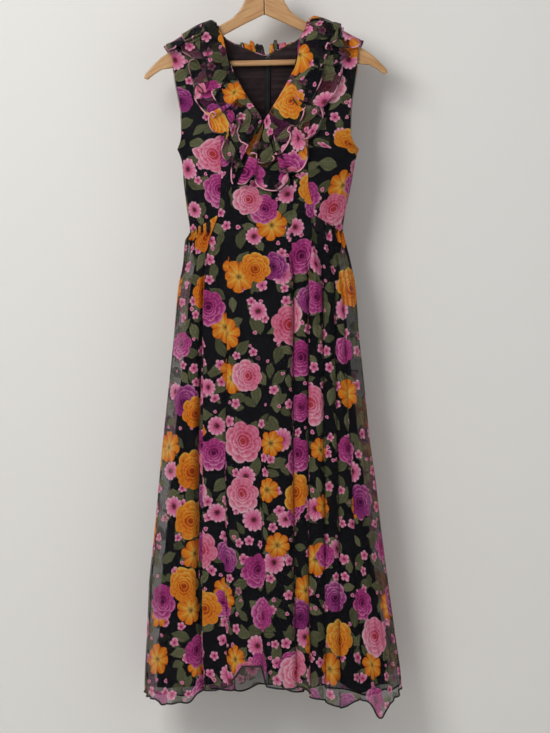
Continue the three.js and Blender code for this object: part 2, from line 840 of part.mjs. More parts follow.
// Outer face of the lower frill at a share of its length and a distance from the neckline
function lowerFrillPoint(course, share, distance) {
  const width = course.width(share);
  const t = Math.max(distance / width, 0);
  const step = 0.5;
  const x = course.x(share) + course.outX(share) * distance;
  const fall = course.fall(share) + course.outFall(share) * distance;
  const aside = shoulderPoint(x, fall + step).sub(shoulderPoint(x, fall - step));
  const across = new THREE.Vector3(1, 0, 0).addScaledVector(
    new THREE.Vector3(0, 0, 1),
    (shoulderZ(x + step) - shoulderZ(x - step)) / (2 * step),
  );
  const normal = aside.cross(across).normalize();
  if (normal.dot(new THREE.Vector3(0, fall / shoulderRoll, 1)) < 0) normal.negate();
  const wave = 0.5 - 0.5 * Math.cos(2 * Math.PI * frillWaves * share);
  const ridge = frillRidgeLift * (1 - ease((Math.abs(fall) - 4) / 10));
  const rise = frillNeckLift * ease(t * 2.5) + frillWaveHeight * wave * t ** 1.2;
  const lift = cloth + frillSeat + ridge + rise;
  const crest = course.crest(share) * ease(t * 4) * (1 - 0.6 * ease((t - 0.4) / 0.6));
  return shoulderPoint(x, fall).addScaledVector(normal, lift).add(new THREE.Vector3(0, 0, crest));
}

function addFrills(hand, rows) {
  const course = frillCourse(rows);
  const shares = frillSharesAlong(rows);
  const step = 0.5;
  const lowerAt = (share, distance) => lowerFrillPoint(course, share, distance);
  const normalAt = (share, distance) => {
    const along = lowerAt(share + 0.002, distance).sub(lowerAt(share - 0.002, distance));
    const out = lowerAt(share, distance + step).sub(lowerAt(share, distance - step));
    const normal = along.cross(out).normalize();
    const outside = lowerAt(share, distance);
    const lookOut = new THREE.Vector3(0, outside.y, 12);
    return normal.dot(lookOut) < 0 ? normal.negate() : normal;
  };
  const grid = (rowShares, lift) => rowShares.map((t) => shares.map((share) => {
    const distance = t * course.width(share);
    return lowerAt(share, distance).addScaledVector(normalAt(share, distance), lift(t, share));
  }));
  const upperLift = (t, share) => {
    const wave = 0.5 - 0.5 * Math.cos(2 * Math.PI * (frillWaves * share + 0.2));
    return cloth + seatGap + upperWaveHeight * wave * t ** 1.5;
  };
  const upperShares = frillShares.slice(0, upperFrillRows);
  const lower = wallGeometry(grid(frillShares, () => 0), grid(frillShares, () => -cloth));
  const upper = wallGeometry(
    grid(upperShares, upperLift),
    grid(upperShares, (t, share) => upperLift(t, share) - cloth),
  );
  addPiece(`frill_lower_${hand}`, lower, 'frill');
  addPiece(`frill_upper_${hand}`, upper, 'frill');
}

// The zip tape lies on the inside of the back lining and the skirt lining, its rows level with theirs
function addZipTape() {
  const liningFoot = curve(backLiningHem, 'x', 'z')(zipX);
  const heights = [
    ...evenly(15, zipTopZ, waistSideZ),
    ...liningRows.slice(1, tapeLiningRows).map((share) => between(waistSideZ, liningFoot, share)),
    zipEndZ,
  ];
  const surface = (u, v) => {
    const z = atRow(heights, v * (heights.length - 1));
    const x = between(zipX - zipTapeWidth / 2, zipX + zipTapeWidth / 2, u);
    return dressPoint(angleAt(x, z), z, 1, liningInset(z) + liningGap, false);
  };
  addPiece('zip_tape', clothWall(surface, evenly(heights.length), evenly(3), 1, 1), 'tape');
}

function boxAt(width, depth, height, x, y, z) {
  const box = new THREE.BoxGeometry(width, depth, height);
  box.translate(x, y, z);
  return box;
}

// Solid shapes joined and cut
function toSolid(geometry) {
  const bare = geometry.clone();
  bare.deleteAttribute('normal');
  bare.deleteAttribute('uv');
  const merged = mergeVertices(bare, 1e-4);
  return new wasm.Manifold(new wasm.Mesh({
    numProp: 3,
    vertProperties: Float32Array.from(merged.getAttribute('position').array),
    triVerts: Uint32Array.from(merged.getIndex().array),
  }));
}

function fromSolid(solid) {
  const mesh = solid.getMesh();
  const geometry = new THREE.BufferGeometry();
  geometry.setAttribute('position', new THREE.Float32BufferAttribute(mesh.vertProperties, 3));
  geometry.setIndex(Array.from(mesh.triVerts));
  return geometry;
}

// Slider with two ears, and the pull tab held between them
const sliderZ = -203;
const pullPivotZ = -201.5;
const sliderDepth = 3;
const earHeight = 3;
const backFaceY = dressPoint(angleAt(zipX, sliderZ), sliderZ, 1).y;
const pullPivotY = backFaceY + seamGap + sliderDepth + 1.5;

function addSlider() {
  const middleY = backFaceY + seamGap + sliderDepth / 2;
  const body = toSolid(boxAt(5, sliderDepth, 9, zipX, middleY, sliderZ));
  const ears = [-1, 1].map((way) => toSolid(boxAt(
    0.8,
    sliderDepth + earHeight,
    3.4,
    zipX + way * 2,
    middleY + earHeight / 2,
    pullPivotZ,
  )));
  const slider = ears.reduce((solid, ear) => solid.add(ear), body);
  addPiece('zip_slider', fromSolid(slider), 'zipMetal');
}

function addPull() {
  const barrel = new THREE.CylinderGeometry(1, 1, 2.6, 12);
  barrel.rotateZ(Math.PI / 2);
  barrel.translate(zipX, pullPivotY, pullPivotZ);
  const outline = new THREE.Shape();
  outline.moveTo(-1.1, 0);
  outline.lineTo(-1.2, -8);
  outline.absarc(0, -21, 2.3, Math.PI * 0.93, Math.PI * 2.07, false);
  outline.lineTo(1.2, -8);
  outline.lineTo(1.1, 0);
  outline.closePath();
  const plate = new THREE.ExtrudeGeometry(outline, { depth: 1, bevelEnabled: false, curveSegments: 10 });
  plate.rotateX(Math.PI / 2);
  plate.translate(zipX, pullPivotY + 0.5, pullPivotZ);
  addPiece('zip_pull', fromSolid(toSolid(barrel).add(toSolid(plate))), 'zipMetal');
}

// Hook and eye on the lining at the head of the zip, each bent from one wire
function wire(points, diameter, steps, sides) {
  const path = new THREE.CatmullRomCurve3(points, false, 'catmullrom', 0.5);
  const section = new THREE.Shape();
  section.absarc(0, 0, diameter / 2, 0, Math.PI * 2, false);
  return new THREE.ExtrudeGeometry(section, {
    steps,
    curveSegments: sides / 2,
    extrudePath: path,
    bevelEnabled: false,
  });
}

function addHookAndEye() {
  const wireSize = 0.9;
  const faceZ = -194;
  const faceY = dressPoint(angleAt(zipX, faceZ), faceZ, 1).y - 3 * (cloth + seamGap) - 0.3;
  const at = (x, z) => new THREE.Vector3(x, faceY, faceZ + z);
  const eye = [
    at(3.4, 2), at(4.6, 2.6), at(7.4, 1.4), at(8.2, 0), at(7.4, -1.4), at(4.6, -2.6), at(3.4, -2),
  ];
  const hook = [
    at(13.8, 1.8), at(12, 2.2), at(9.8, 1), at(9.3, 0), at(9.8, -1), at(12, -2.2), at(13.8, -1.8),
  ];
  addPiece('eye', wire(eye, wireSize, 14, 6), 'steel');
  addPiece('hook', wire(hook, wireSize, 14, 6), 'steel');
}

// One arm of the hanger: half the outline, with sockets for the bar and the hook's shank
function addArm(hand) {
  const sign = hand === 'left' ? -1 : 1;
  const shape = new THREE.Shape();
  hangerOutline.forEach((row, i) => {
    const x = sign * Math.max(row.x, seamGap / 2);
    if (i === 0) shape.moveTo(x, row.z);
    else shape.lineTo(x, row.z);
  });
  shape.closePath();
  const board = new THREE.ExtrudeGeometry(shape, {
    depth: boardThickness - 2 * boardBevel,
    bevelEnabled: true,
    bevelThickness: boardBevel,
    bevelSize: boardBevel,
    bevelOffset: -boardBevel,
    bevelSegments: 2,
  });
  board.rotateX(Math.PI / 2);
  board.translate(0, boardThickness / 2 - boardBevel, 0);
  const socketRadius = barRadius + socketClearance;
  const socket = new THREE.CylinderGeometry(socketRadius, socketRadius, 20, 20);
  socket.rotateZ(Math.PI / 2);
  socket.translate(sign * (barHalfLength + socketClearance - 10), 0, barZ);
  const holeRadius = hookWire / 2 + socketClearance;
  const shankHole = new THREE.CylinderGeometry(holeRadius, holeRadius, 40, 16);
  shankHole.rotateX(Math.PI / 2);
  shankHole.translate(shankX, 0, shankSocketZ + 20);
  const arm = toSolid(board).subtract(toSolid(socket)).subtract(toSolid(shankHole));
  addPiece(`hanger_arm_${hand}`, fromSolid(arm), 'wood', hanger);
}

function addBar() {
  const bar = new THREE.CylinderGeometry(barRadius, barRadius, 2 * barHalfLength, 20);
  bar.rotateZ(Math.PI / 2);
  bar.translate(0, 0, barZ);
  addPiece('hanger_bar', bar, 'wood', hanger);
}

// The hook: a straight shank, a short bend and three quarters of a round loop
function addHook() {
  const centreZ = hookWire / 2 - hookRadius;
  const points = [];
  evenly(4, shankSocketZ + socketClearance, -52).forEach((z) => points.push(new THREE.Vector3(shankX, 0, z)));
  evenly(13, -62, 205).forEach((degrees) => {
    const angle = THREE.MathUtils.degToRad(degrees);
    const x = hookRadius * Math.cos(angle);
    points.push(new THREE.Vector3(x, 0, centreZ + hookRadius * Math.sin(angle)));
  });
  addPiece('hanger_hook', wire(points, hookWire, 32, 10), 'steel', hanger);
}

addCentreFront();
['left', 'right'].forEach((hand) => {
  addSideFront(hand);
  addSideSkirt(hand);
  addBackBodice(hand);
  addBackSkirt(hand);
});
addSkirtLining('skirt_lining_front', -1, frontLiningHem);
addSkirtLining('skirt_lining_back', 1, backLiningHem);
addFrills('left', frillLeft);
addFrills('right', frillRight);
addZipTape();
addSlider();
addPull();
addHookAndEye();
['left', 'right'].forEach(addArm);
addBar();
addHook();
dress.add(hanger);

export default dress;
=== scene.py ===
import math

import bmesh
import bpy
import numpy as np
from mathutils import Matrix


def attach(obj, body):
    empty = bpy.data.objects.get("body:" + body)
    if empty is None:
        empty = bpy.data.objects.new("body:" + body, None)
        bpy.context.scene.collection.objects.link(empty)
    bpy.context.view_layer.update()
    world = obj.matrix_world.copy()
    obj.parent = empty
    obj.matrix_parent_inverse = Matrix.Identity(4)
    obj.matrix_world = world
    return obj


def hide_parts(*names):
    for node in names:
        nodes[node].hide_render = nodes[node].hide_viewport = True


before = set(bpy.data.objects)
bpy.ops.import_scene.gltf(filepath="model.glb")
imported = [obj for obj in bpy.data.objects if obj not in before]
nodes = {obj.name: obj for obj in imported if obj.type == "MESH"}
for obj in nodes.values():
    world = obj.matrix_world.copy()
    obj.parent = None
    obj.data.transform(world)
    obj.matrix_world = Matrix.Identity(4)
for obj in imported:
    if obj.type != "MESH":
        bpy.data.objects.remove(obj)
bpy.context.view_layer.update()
mm = 0.001  # every table is in millimetres, every mesh in metres

# Where the dress is sewn and how far its cloths stand apart, as in the frame
cut = {
    "seam": 0.3, "waistSeam": 0.5, "liningGap": 2.5, "liningDrop": 18,
    "underarm": -364, "waistSide": -516, "waistFront": -484, "hip": -580, "hem": -1350,
    "roll": 7, "rise": 2.2, "neckLeft": -81.7, "neckRight": 80,
    "zip": 8, "zipTop": -197, "zipEnd": -640, "hangerTilt": math.radians(1.3),
}


def named(columns, rows):
    return dict(zip(columns.split(), np.array(rows, float).T))


girth = named("z left right front back", [
    (-120, 224, 234, 16.5, 17), (-180, 214, 226, 18, 17.5), (-240, 204, 216, 24, 20),
    (-300, 190, 204, 34, 25), (-340, 173, 190, 42, 29), (-364, 156.5, 175, 46, 32),
    (-387, 148, 168, 48, 33), (-423, 144.5, 162, 47, 33), (-460, 140, 154.5, 42, 31),
    (-516, 132.2, 145.6, 36, 28), (-530, 140, 149, 38, 30), (-570, 144, 158.5, 43, 34),
    (-615, 153, 167.4, 48, 38), (-706, 161.6, 175.4, 55, 43), (-800, 172, 185, 60, 47),
    (-895, 182.4, 195.2, 64, 50), (-968, 189, 205, 67, 52), (-1062, 196.4, 215.5, 70, 55),
    (-1155, 205.7, 227, 73, 57), (-1250, 209.9, 240, 75, 59), (-1317, 213.4, 250, 76, 60),
    (-1400, 214.5, 256, 77, 60),
])

armhole = named("z left right", [
    (-166, 172, 175), (-178, 170.7, 173.3), (-206, 164.5, 171.8), (-238, 159.6, 167),
    (-272, 152.7, 161.5), (-300, 148.5, 159.6), (-335, 148.5, 159.6), (-351, 151, 165),
    (-364, 156.5, 175),
])

frontNeck = named("x z", [
    (-82.5, -136.5), (-79.5, -148), (-71.5, -165), (-62.4, -201), (-42, -245), (-24, -275.4),
    (1.5, -312), (17, -288), (34, -260), (56, -217.6), (60, -199), (65, -168), (77.5, -143), (81, -129),
])

backNeck = named("x z", [
    (-82.5, -136.5), (-79, -147), (-67, -160), (-45, -171.5), (-26.8, -179.3), (6.2, -189),
    (34, -178.2), (58.4, -164.2), (68, -157), (77.5, -142), (81, -129),
])

frontSeams = named("z left right", [
    (-120, -109, 117), (-240, -98, 104), (-312, -80, 86), (-360, -76, 82), (-423, -76, 82),
    (-484, -82, 92), (-530, -96, 88), (-580, -104, 86), (-650, -108, 86), (-1400, -110, 86),
])

centreColumns = named("shoulder bust waist hem", [
    (-100, -74, -77, -103), (-91, -66, -70, -92), (-82, -57, -60, -70), (-80.4, -54, -57, -65),
    (-71, -48, -53.5, -60), (-62, -41, -50, -55), (-42, -27, -40, -43), (-20, -13, -24, -34),
    (1.5, 1.5, -4, -3), (18, 14, 12, 6), (30, 26, 27, 28), (44, 38, 41, 48), (60, 48, 48, 54),
    (70, 53, 51, 58), (78.4, 57, 53.5, 61), (80, 59.5, 55.5, 63.5), (90, 66, 62, 68), (99, 75, 74, 76),
])

foldKeys = "waist hem narrow wide depth from to"
foldEnds = {"hollow": 130, "ridge": 30, "foot": 120, "throughHem": -1390}
foldLips = {"from": 5, "draw": 1.3, "gap": 13}
frontFolds = named(foldKeys, [
    (-122, -150, 4, 24, 5, -516, -1400), (-103, -110, 3, 5.5, -19, -520, -1400),
    (-96, -98, 3, 9, 4, -500, -760), (-80, -76, 4, 12, 5, -496, -900),
    (-60, -55, 5, 10, -6.5, -620, -1400), (55, 62, 4, 5.5, -16, -500, -1400),
    (80, 86, 3.5, 5, -11, -500, -1400), (90, 96, 3, 6, 4, -496, -800), (104, 115, 3, 5.5, -12, -508, -1400),
    (113, 126, 3, 6, 4, -500, -760), (124, 141, 3, 6, -11, -520, -1400),
    (136, 178, 4, 12, -7, -560, -1400),
])

backFolds = named(foldKeys, [
    (-112, -150, 4, 12, -9, -540, -1400), (-88, -98, 3, 7, -10, -540, -1400),
    (-60, -52, 4, 12, -6, -600, -1400), (-30, -18, 5, 14, 5, -640, -1400),
    (40, 34, 5, 14, 5, -640, -1400), (66, 74, 4, 9, -8, -560, -1400), (92, 116, 3, 8, -10, -540, -1400),
    (120, 166, 4, 12, -8, -540, -1400),
])

frontHem = named("x z", [
    (-216, -1353), (-186, -1370), (-160, -1371), (-133, -1364), (-111, -1346), (-88, -1345),
    (-62, -1333), (-46, -1324), (-34, -1301), (-4, -1301), (8, -1338), (48, -1342), (70, -1338),
    (86, -1352), (115, -1366), (144, -1378), (164, -1362), (192, -1366), (212, -1394), (232, -1372),
    (255, -1343),
])

backHem = named("x z", [
    (-216, -1353), (-150, -1362), (-98, -1350), (-40, -1357), (-4, -1342), (60, -1356), (116, -1347),
    (190, -1360), (255, -1343),
])

frontLiningHem = named("x z", [
    (-190, -1344), (-110, -1336), (-52, -1318), (-36, -1288), (-2, -1288), (12, -1326), (70, -1328),
    (115, -1322), (150, -1332), (190, -1352), (230, -1338),
])

backLiningHem = named("x z", [
    (-190, -1344), (-90, -1318), (-30, -1285), (20, -1285), (90, -1318), (230, -1338),
])

frillLeft = named("x z side heading width crest", [
    (0, -312, -1, 243, 108, 0), (-6, -303, -1, 232, 92, 0), (-15, -290, -1, 222, 80, 0),
    (-26, -274, -1, 213, 76, 0), (-44, -244, -1, 205, 75, 0), (-64, -201, -1, 197, 64, 0),
    (-73, -160, -1, 195, 78, 4), (-83, -136, 1, 205, 97, 9), (-69, -159, 1, 215, 86, 5),
    (-47, -173, 1, 238, 84, 4), (-28, -181, 1, 255, 84, 10), (3.6, -190, 1, 268, 84, 15),
])

frillRight = named("x z side heading width crest", [
    (3, -313, -1, 247, 110, 0), (4, -312, -1, 262, 118, 0), (6, -308, -1, 280, 118, 0),
    (11, -300, -1, 300, 104, 0), (19, -287, -1, 322, 84, 0), (36, -259, -1, 338, 80, 0),
    (58, -216, -1, 345, 76, 0), (66, -180, -1, 344, 78, 2), (69, -161, -1, 341, 86, 5),
    (83, -133, 1, 334, 94, 8), (70, -158, 1, 325, 86, 5), (47, -172, 1, 302, 84, 4),
    (30, -180, 1, 285, 84, 10), (12.4, -188, 1, 272, 84, 15),
])

hangerOutline = named("x z", [
    (0, -57), (12, -59), (24, -69), (33, -84), (39, -99), (47, -112), (60, -124.5), (80, -135),
    (125, -157.5), (172.7, -181), (191, -193), (206, -207), (220, -222), (222, -229), (215.5, -232),
    (203, -222), (189, -214), (169, -211.6), (150, -199), (120, -179.5), (69.8, -151), (36, -134),
    (0, -117.5),
])


def curve(table, key, value):  # a smooth line through a table's rows, held at its ends
    at, worth = table[key], table[value]
    if at[0] > at[-1]:
        at, worth = at[::-1], worth[::-1]
    slopes = np.diff(worth) / np.diff(at)
    before, after = slopes[:-1], slopes[1:]
    total = np.where(before * after > 0, before + after, 1)
    inner = np.where(before * after > 0, 2 * before * after / total, 0)
    tangents = np.concatenate([slopes[:1], inner, slopes[-1:]])
    fine = np.concatenate([np.linspace(a, b, 60, endpoint=False) for a, b in zip(at, at[1:])] + [at[-1:]])
    i = np.clip(np.searchsorted(at, fine, side="right") - 1, 0, len(at) - 2)
    span = at[i + 1] - at[i]
    t = (fine - at[i]) / span
    rest = 1 - t
    line = ((1 + 2 * t) * rest ** 2 * worth[i] + t * rest ** 2 * span * tangents[i]
            + t ** 2 * (3 - 2 * t) * worth[i + 1] - t ** 2 * rest * span * tangents[i + 1])
    return lambda x: np.interp(x, fine, line)


def crossing(test, low, high, count):  # where a rising test changes sign, for several columns at once
    below, above = np.full(count, float(low)), np.full(count, float(high))
    for _ in range(34):
        middle = (below + above) / 2
        over = test(middle) > 0
        above = np.where(over, middle, above)
        below = np.where(over, below, middle)
    return (below + above) / 2


def ease(t):
    held = np.clip(t, 0, 1)
    return held * held * (3 - 2 * held)


def mix(a, b, t):
    return a + (b - a) * t


leftReach, rightReach = curve(girth, "z", "left"), curve(girth, "z", "right")
frontDepth, backDepth = curve(girth, "z", "front"), curve(girth, "z", "back")


def middleX(z):
    return (rightReach(z) - leftReach(z)) / 2


def halfWidth(z):
    return (rightReach(z) + leftReach(z)) / 2


def angleAt(x, z):
    return np.arcsin(np.clip((x - middleX(z)) / halfWidth(z), -1, 1))


def reachAt(angle, z):
    return middleX(z) + halfWidth(z) * np.sin(angle)


def shoulderLine():  # along the tops of the hanger's tilted arms
    tip = int(np.argmax(hangerOutline["z"] < -225))
    top = [(x, z) for x, z in zip(hangerOutline["x"][:tip], hangerOutline["z"][:tip]) if x > 45]
    cosine, sine = math.cos(cut["hangerTilt"]), math.sin(cut["hangerTilt"])
    spots = [(-x, z) for x, z in reversed(top)] + top
    return curve(named("x z", [(x * cosine - z * sine, x * sine + z * cosine) for x, z in spots]), "x", "z")


seamHeight = shoulderLine()


def shoulderZ(x):
    return seamHeight(x) + cut["rise"]


def foldPlaces(folds, angle, z):  # how far each place is from every fold's middle, and the fold's strength
    run = np.minimum((cut["waistFront"] - z) / (cut["waistFront"] - cut["hem"]), 1)
    for i in range(len(folds["hem"])):
        waist, hem, narrow, wide, depth, start, end = (folds[key][i] for key in foldKeys.split())
        centre = mix(angleAt(waist, cut["waistFront"]), angleAt(hem, cut["hem"]), run)
        width = mix(narrow, wide, np.maximum(run, 0))
        begins = ease((start - z) / foldEnds["hollow" if depth < 0 else "ridge"])
        ends = 1 if end < foldEnds["throughHem"] else ease((z - end) / foldEnds["foot"])
        strength = np.where((z <= start) & (z >= end), begins * ends, 0)
        yield (angle - centre) * halfWidth(z) / width, width, depth, strength


def foldRelief(folds, angle, z):
    total = np.zeros(np.broadcast(angle, z).shape)
    for away, _, depth, strength in foldPlaces(folds, angle, z):
        total += depth * strength * np.exp(-0.5 * away ** 2)
    return total


def lapped(folds, angle, z):  # the lips of a deep fold draw together over it
    shift = np.zeros(np.broadcast(angle, z).shape)
    for away, width, depth, strength in foldPlaces(folds, angle, z):
        if depth < -foldLips["from"]:
            draw = min(foldLips["draw"], foldLips["gap"] / abs(depth))
            shift -= draw * width * strength * away * np.exp(-0.5 * away ** 2)
    return angle + shift / halfWidth(z)


def dressPoint(angle, z, side, inset=0.0, relief=0.0):  # side is -1 in front, 1 behind
    depth = (frontDepth(z) if side < 0 else backDepth(z)) - inset
    wide = halfWidth(z) - inset
    outX, outY = np.sin(angle) / wide, np.cos(angle) / depth
    push = relief / np.hypot(outX, outY)
    x = middleX(z) + wide * np.sin(angle) + push * outX
    below = np.clip((shoulderZ(x) - inset - z) / cut["roll"], 0, 1)
    y = (depth * np.cos(angle) + push * outY) * np.sqrt(1 - (1 - below) ** 2)
    return np.stack(np.broadcast_arrays(x, side * (cut["seam"] / 2 + y), z), -1)


# Materials

class Wire:  # a value on its way through a material, joined up with ordinary arithmetic
    def __init__(self, tree, socket):
        self.tree, self.socket = tree, socket

    def do(self, operation, *others, clamp=False):
        inputs = dict(enumerate((self, *others)))
        node = addNode(self.tree, "Math", inputs, operation=operation, use_clamp=clamp)
        return Wire(self.tree, node.outputs[0])

    def __add__(self, other):
        return self.do("ADD", other)

    def __sub__(self, other):
        return self.do("SUBTRACT", other)

    def __mul__(self, other):
        return self.do("MULTIPLY", other)

    def __truediv__(self, other):
        return self.do("DIVIDE", other)

    def toward(self, other, amount):  # from this value to another
        node = addNode(self.tree, "Mix", {"Factor": amount, "A": self, "B": other}, data_type="FLOAT")
        return Wire(self.tree, node.outputs["Result"])

    def held(self):
        return self.do("ADD", 0, clamp=True)

    def above(self, edge, soft):  # 0 below the edge, 1 above it
        return self.do("SUBTRACT", edge).do("DIVIDE", soft).do("ADD", 0.5, clamp=True)


def plug(tree, socket, item):
    item = item.socket if isinstance(item, Wire) else item
    if isinstance(item, bpy.types.NodeSocket):
        tree.links.new(item, socket)
    else:
        socket.default_value = item


def plugAll(tree, node, inputs):
    for key, item in inputs.items():
        plug(tree, node.inputs[key], item)


def addNode(tree, kind, inputs, **settings):
    node = tree.nodes.new("ShaderNode" + kind)
    for key, setting in settings.items():
        setattr(node, key, setting)
    plugAll(tree, node, inputs)
    return node


def newMaterial(name):
    material = bpy.data.materials.new(name)
    material.use_nodes = True
    tree = material.node_tree
    return material, tree, tree.nodes["Principled BSDF"]


def spots(tree, source, x, y=None, z=1.0):  # the place on the cloth or the object, scaled
    place = addNode(tree, "TexCoord", {}).outputs[source]
    size = (x, x if y is None else y, z)
    return addNode(tree, "Mapping", {"Vector": place, "Scale": size}).outputs["Vector"]


def noise(tree, vector, scale, detail=2.0, rough=0.5):
    inputs = {"Vector": vector, "Scale": scale, "Detail": detail, "Roughness": rough}
    return Wire(tree, addNode(tree, "TexNoise", inputs).outputs["Fac"])


def ramp(tree, value, *stops):  # stops are (place, (red, green, blue))
    node = tree.nodes.new("ShaderNodeValToRGB")
    elements = node.color_ramp.elements
    while len(elements) < len(stops):
        elements.new(0.5)
    for element, (place, colour) in zip(elements, stops):
        element.position, element.color = place, (*colour, 1)
    tree.links.new(value.socket, node.inputs["Fac"])
    return node.outputs["Color"]


def blendColour(tree, amount, under, over):
    under, over = ((*item, 1) if isinstance(item, tuple) else item for item in (under, over))
    node = addNode(tree, "Mix", {"Factor": amount, "A": under, "B": over}, data_type="RGBA")
    return node.outputs["Result"]


def bump(tree, shader, height, strength, distance):
    node = addNode(tree, "Bump", {"Strength": strength, "Distance": distance, "Height": height})
    plug(tree, shader.inputs["Normal"], node.outputs["Normal"])


def wandering(tree, amount, scale):  # the cloth's own place, pushed about so that no outline is ruled
    place = addNode(tree, "TexCoord", {}).outputs["UV"]
    drift = addNode(tree, "TexNoise", {"Vector": place, "Scale": scale, "Detail": 1.5}).outputs["Color"]
    inputs = {0: drift, 1: (amount * mm, amount * mm, 0), 2: place}
    return addNode(tree, "VectorMath", inputs, operation="MULTIPLY_ADD").outputs[0]


def scatter(tree, source, cell, shift, jitter):  # strewn motifs, each with its own polar place
    size = (1 / (cell * mm), 1 / (cell * mm), 1)
    inputs = {"Vector": source, "Location": (*shift, 0), "Scale": size}
    flat = addNode(tree, "Mapping", inputs).outputs["Vector"]
    cells = addNode(tree, "TexVoronoi", {"Vector": flat, "Scale": 1, "Randomness": jitter},
                    voronoi_dimensions="2D")
    away = addNode(tree, "VectorMath", {0: flat, 1: cells.outputs["Position"]}, operation="SUBTRACT")
    parts = addNode(tree, "SeparateXYZ", {0: away.outputs[0]})
    chance = addNode(tree, "SeparateColor", {0: cells.outputs["Color"]})
    x, y = Wire(tree, parts.outputs["X"]), Wire(tree, parts.outputs["Y"])
    red, green, blue = (Wire(tree, chance.outputs[key]) for key in ("Red", "Green", "Blue"))
    reach = (x * x + y * y).do("SQRT") * cell
    angle = y.do("ARCTAN2", x) + red * math.tau
    return {"reach": reach, "angle": angle, "red": red, "green": green, "blue": blue}


inks = {  # dark to light, as linear colour
    "magenta": ((0.08, 0.003, 0.04), (0.28, 0.015, 0.13), (0.48, 0.06, 0.26), (0.68, 0.27, 0.46)),
    "violet": ((0.05, 0.003, 0.035), (0.18, 0.010, 0.12), (0.34, 0.045, 0.22), (0.54, 0.22, 0.40)),
    "rose": ((0.42, 0.035, 0.03), (0.58, 0.07, 0.16), (0.76, 0.23, 0.36), (0.82, 0.50, 0.58)),
    "pink": ((0.22, 0.008, 0.07), (0.58, 0.07, 0.23), (0.78, 0.25, 0.42), (0.84, 0.50, 0.60)),
    "orange": ((0.34, 0.04, 0.004), (0.62, 0.13, 0.008), (0.76, 0.26, 0.020), (0.74, 0.47, 0.09)),
    "leaf": ((0.012, 0.014, 0.007), (0.042, 0.046, 0.022), (0.100, 0.105, 0.050), (0.22, 0.22, 0.12)),
    "ground": (0.0055, 0.006, 0.0095),
}


def inkRamp(tree, value, name):
    stops = (0.0, 0.32, 0.68, 1.0)
    return ramp(tree, value, *zip(stops, inks[name]))


roseRings = [  # reach, petals, turn, how far the ring sits aside
    (1.00, 7, 0.4, 0.0), (0.77, 6, 1.9, 0.10), (0.56, 5, 0.3, 0.20), (0.38, 3, 1.2, 0.26),
    (0.20, 2, 0.5, 0.30),
]


def roses(tree, spot, size, first, second, share):  # rings of petals, each ring over the one outside it
    reach = spot["reach"] / ((spot["blue"] * 0.35 + 0.75) * size)
    lean = spot["angle"].do("COSINE")
    streak = (spot["angle"] * 17).do("SINE") * 0.07
    tone = outline = None
    for ring, petals, turn, aside in roseRings:
        near = reach * (lean * aside + 1)
        lobe = (spot["angle"] * (petals / 2) + turn).do("SINE").do("ABSOLUTE").do("POWER", 0.55)
        edge = (lobe * 0.17 + 0.83) * ring
        inside = (edge - near).above(0, 0.035)
        shade = (near / edge * 2.3 - 1.42 + streak + lobe * 0.12).held()
        tone = shade if tone is None else tone.toward(shade, inside)
        outline = inside if outline is None else outline
    tone = (tone * 0.86 + lean * 0.17 + spot["green"] * 0.25 - 0.02).held()
    colour = blendColour(tree, spot["red"].above(0.6, 0.02), inkRamp(tree, tone, first),
                         inkRamp(tree, tone, second))
    return outline * (spot["green"] * -1 + share).above(0, 0.01), colour


def blossoms(tree, spot, size, petals, ink, share, heart, notch, inward):  # open flowers with plain petals
    fan = (spot["angle"] * (petals / 2)).do("COSINE").do("ABSOLUTE")
    edge = (fan.do("POWER", 0.5) * notch + (1 - notch)) * (spot["blue"] * 0.3 + 0.75) * size
    inside = (spot["reach"] * -1 + edge).above(0, 0.8) * (spot["green"] * -1 + share).above(0, 0.01)
    depth = spot["reach"] / edge
    streak = (spot["angle"] * (petals * 2.5)).do("COSINE") * 0.10
    run = depth * -0.75 + 1 if inward else depth * 0.75
    tone = (run + fan * 0.3 + streak - 0.08).held()
    middle = (spot["reach"] * -1 + size * heart + streak * size).above(0, 1.0)
    colour = blendColour(tree, middle, inkRamp(tree, tone, ink), (0.07, 0.022, 0.008))
    return inside, colour


def leaves(tree, spot, length, width, share):
    along = spot["angle"].do("COSINE") * spot["reach"]
    across = (spot["angle"].do("SINE") * spot["reach"]).do("ABSOLUTE")
    place = along / length
    taper = (place.do("POWER", 2) * -1 + 1) * (place * -0.3 + 1)
    saw = ((along + across) / 3.2).do("FRACT") * 0.8
    inside = (taper * width - across - saw).above(0, 0.5) * (spot["green"] * -1 + share).above(0, 0.01)
    rib = (across * -1 + 0.8).above(0, 0.8)
    veins = ((along - across * 1.1) / 4.2).do("FRACT").above(0.74, 0.2)
    tone = (spot["blue"] * 0.3 + 0.3 + rib * 0.3 + veins * 0.24 + across * 0.03).held()
    return inside, inkRamp(tree, tone, "leaf")


# The printed chiffon: motifs in layers on a near-black ground, each more opaque than the ground
def layers(kind, columns, rows):
    return [{"kind": kind, **dict(zip(columns.split(), row))} for row in rows]


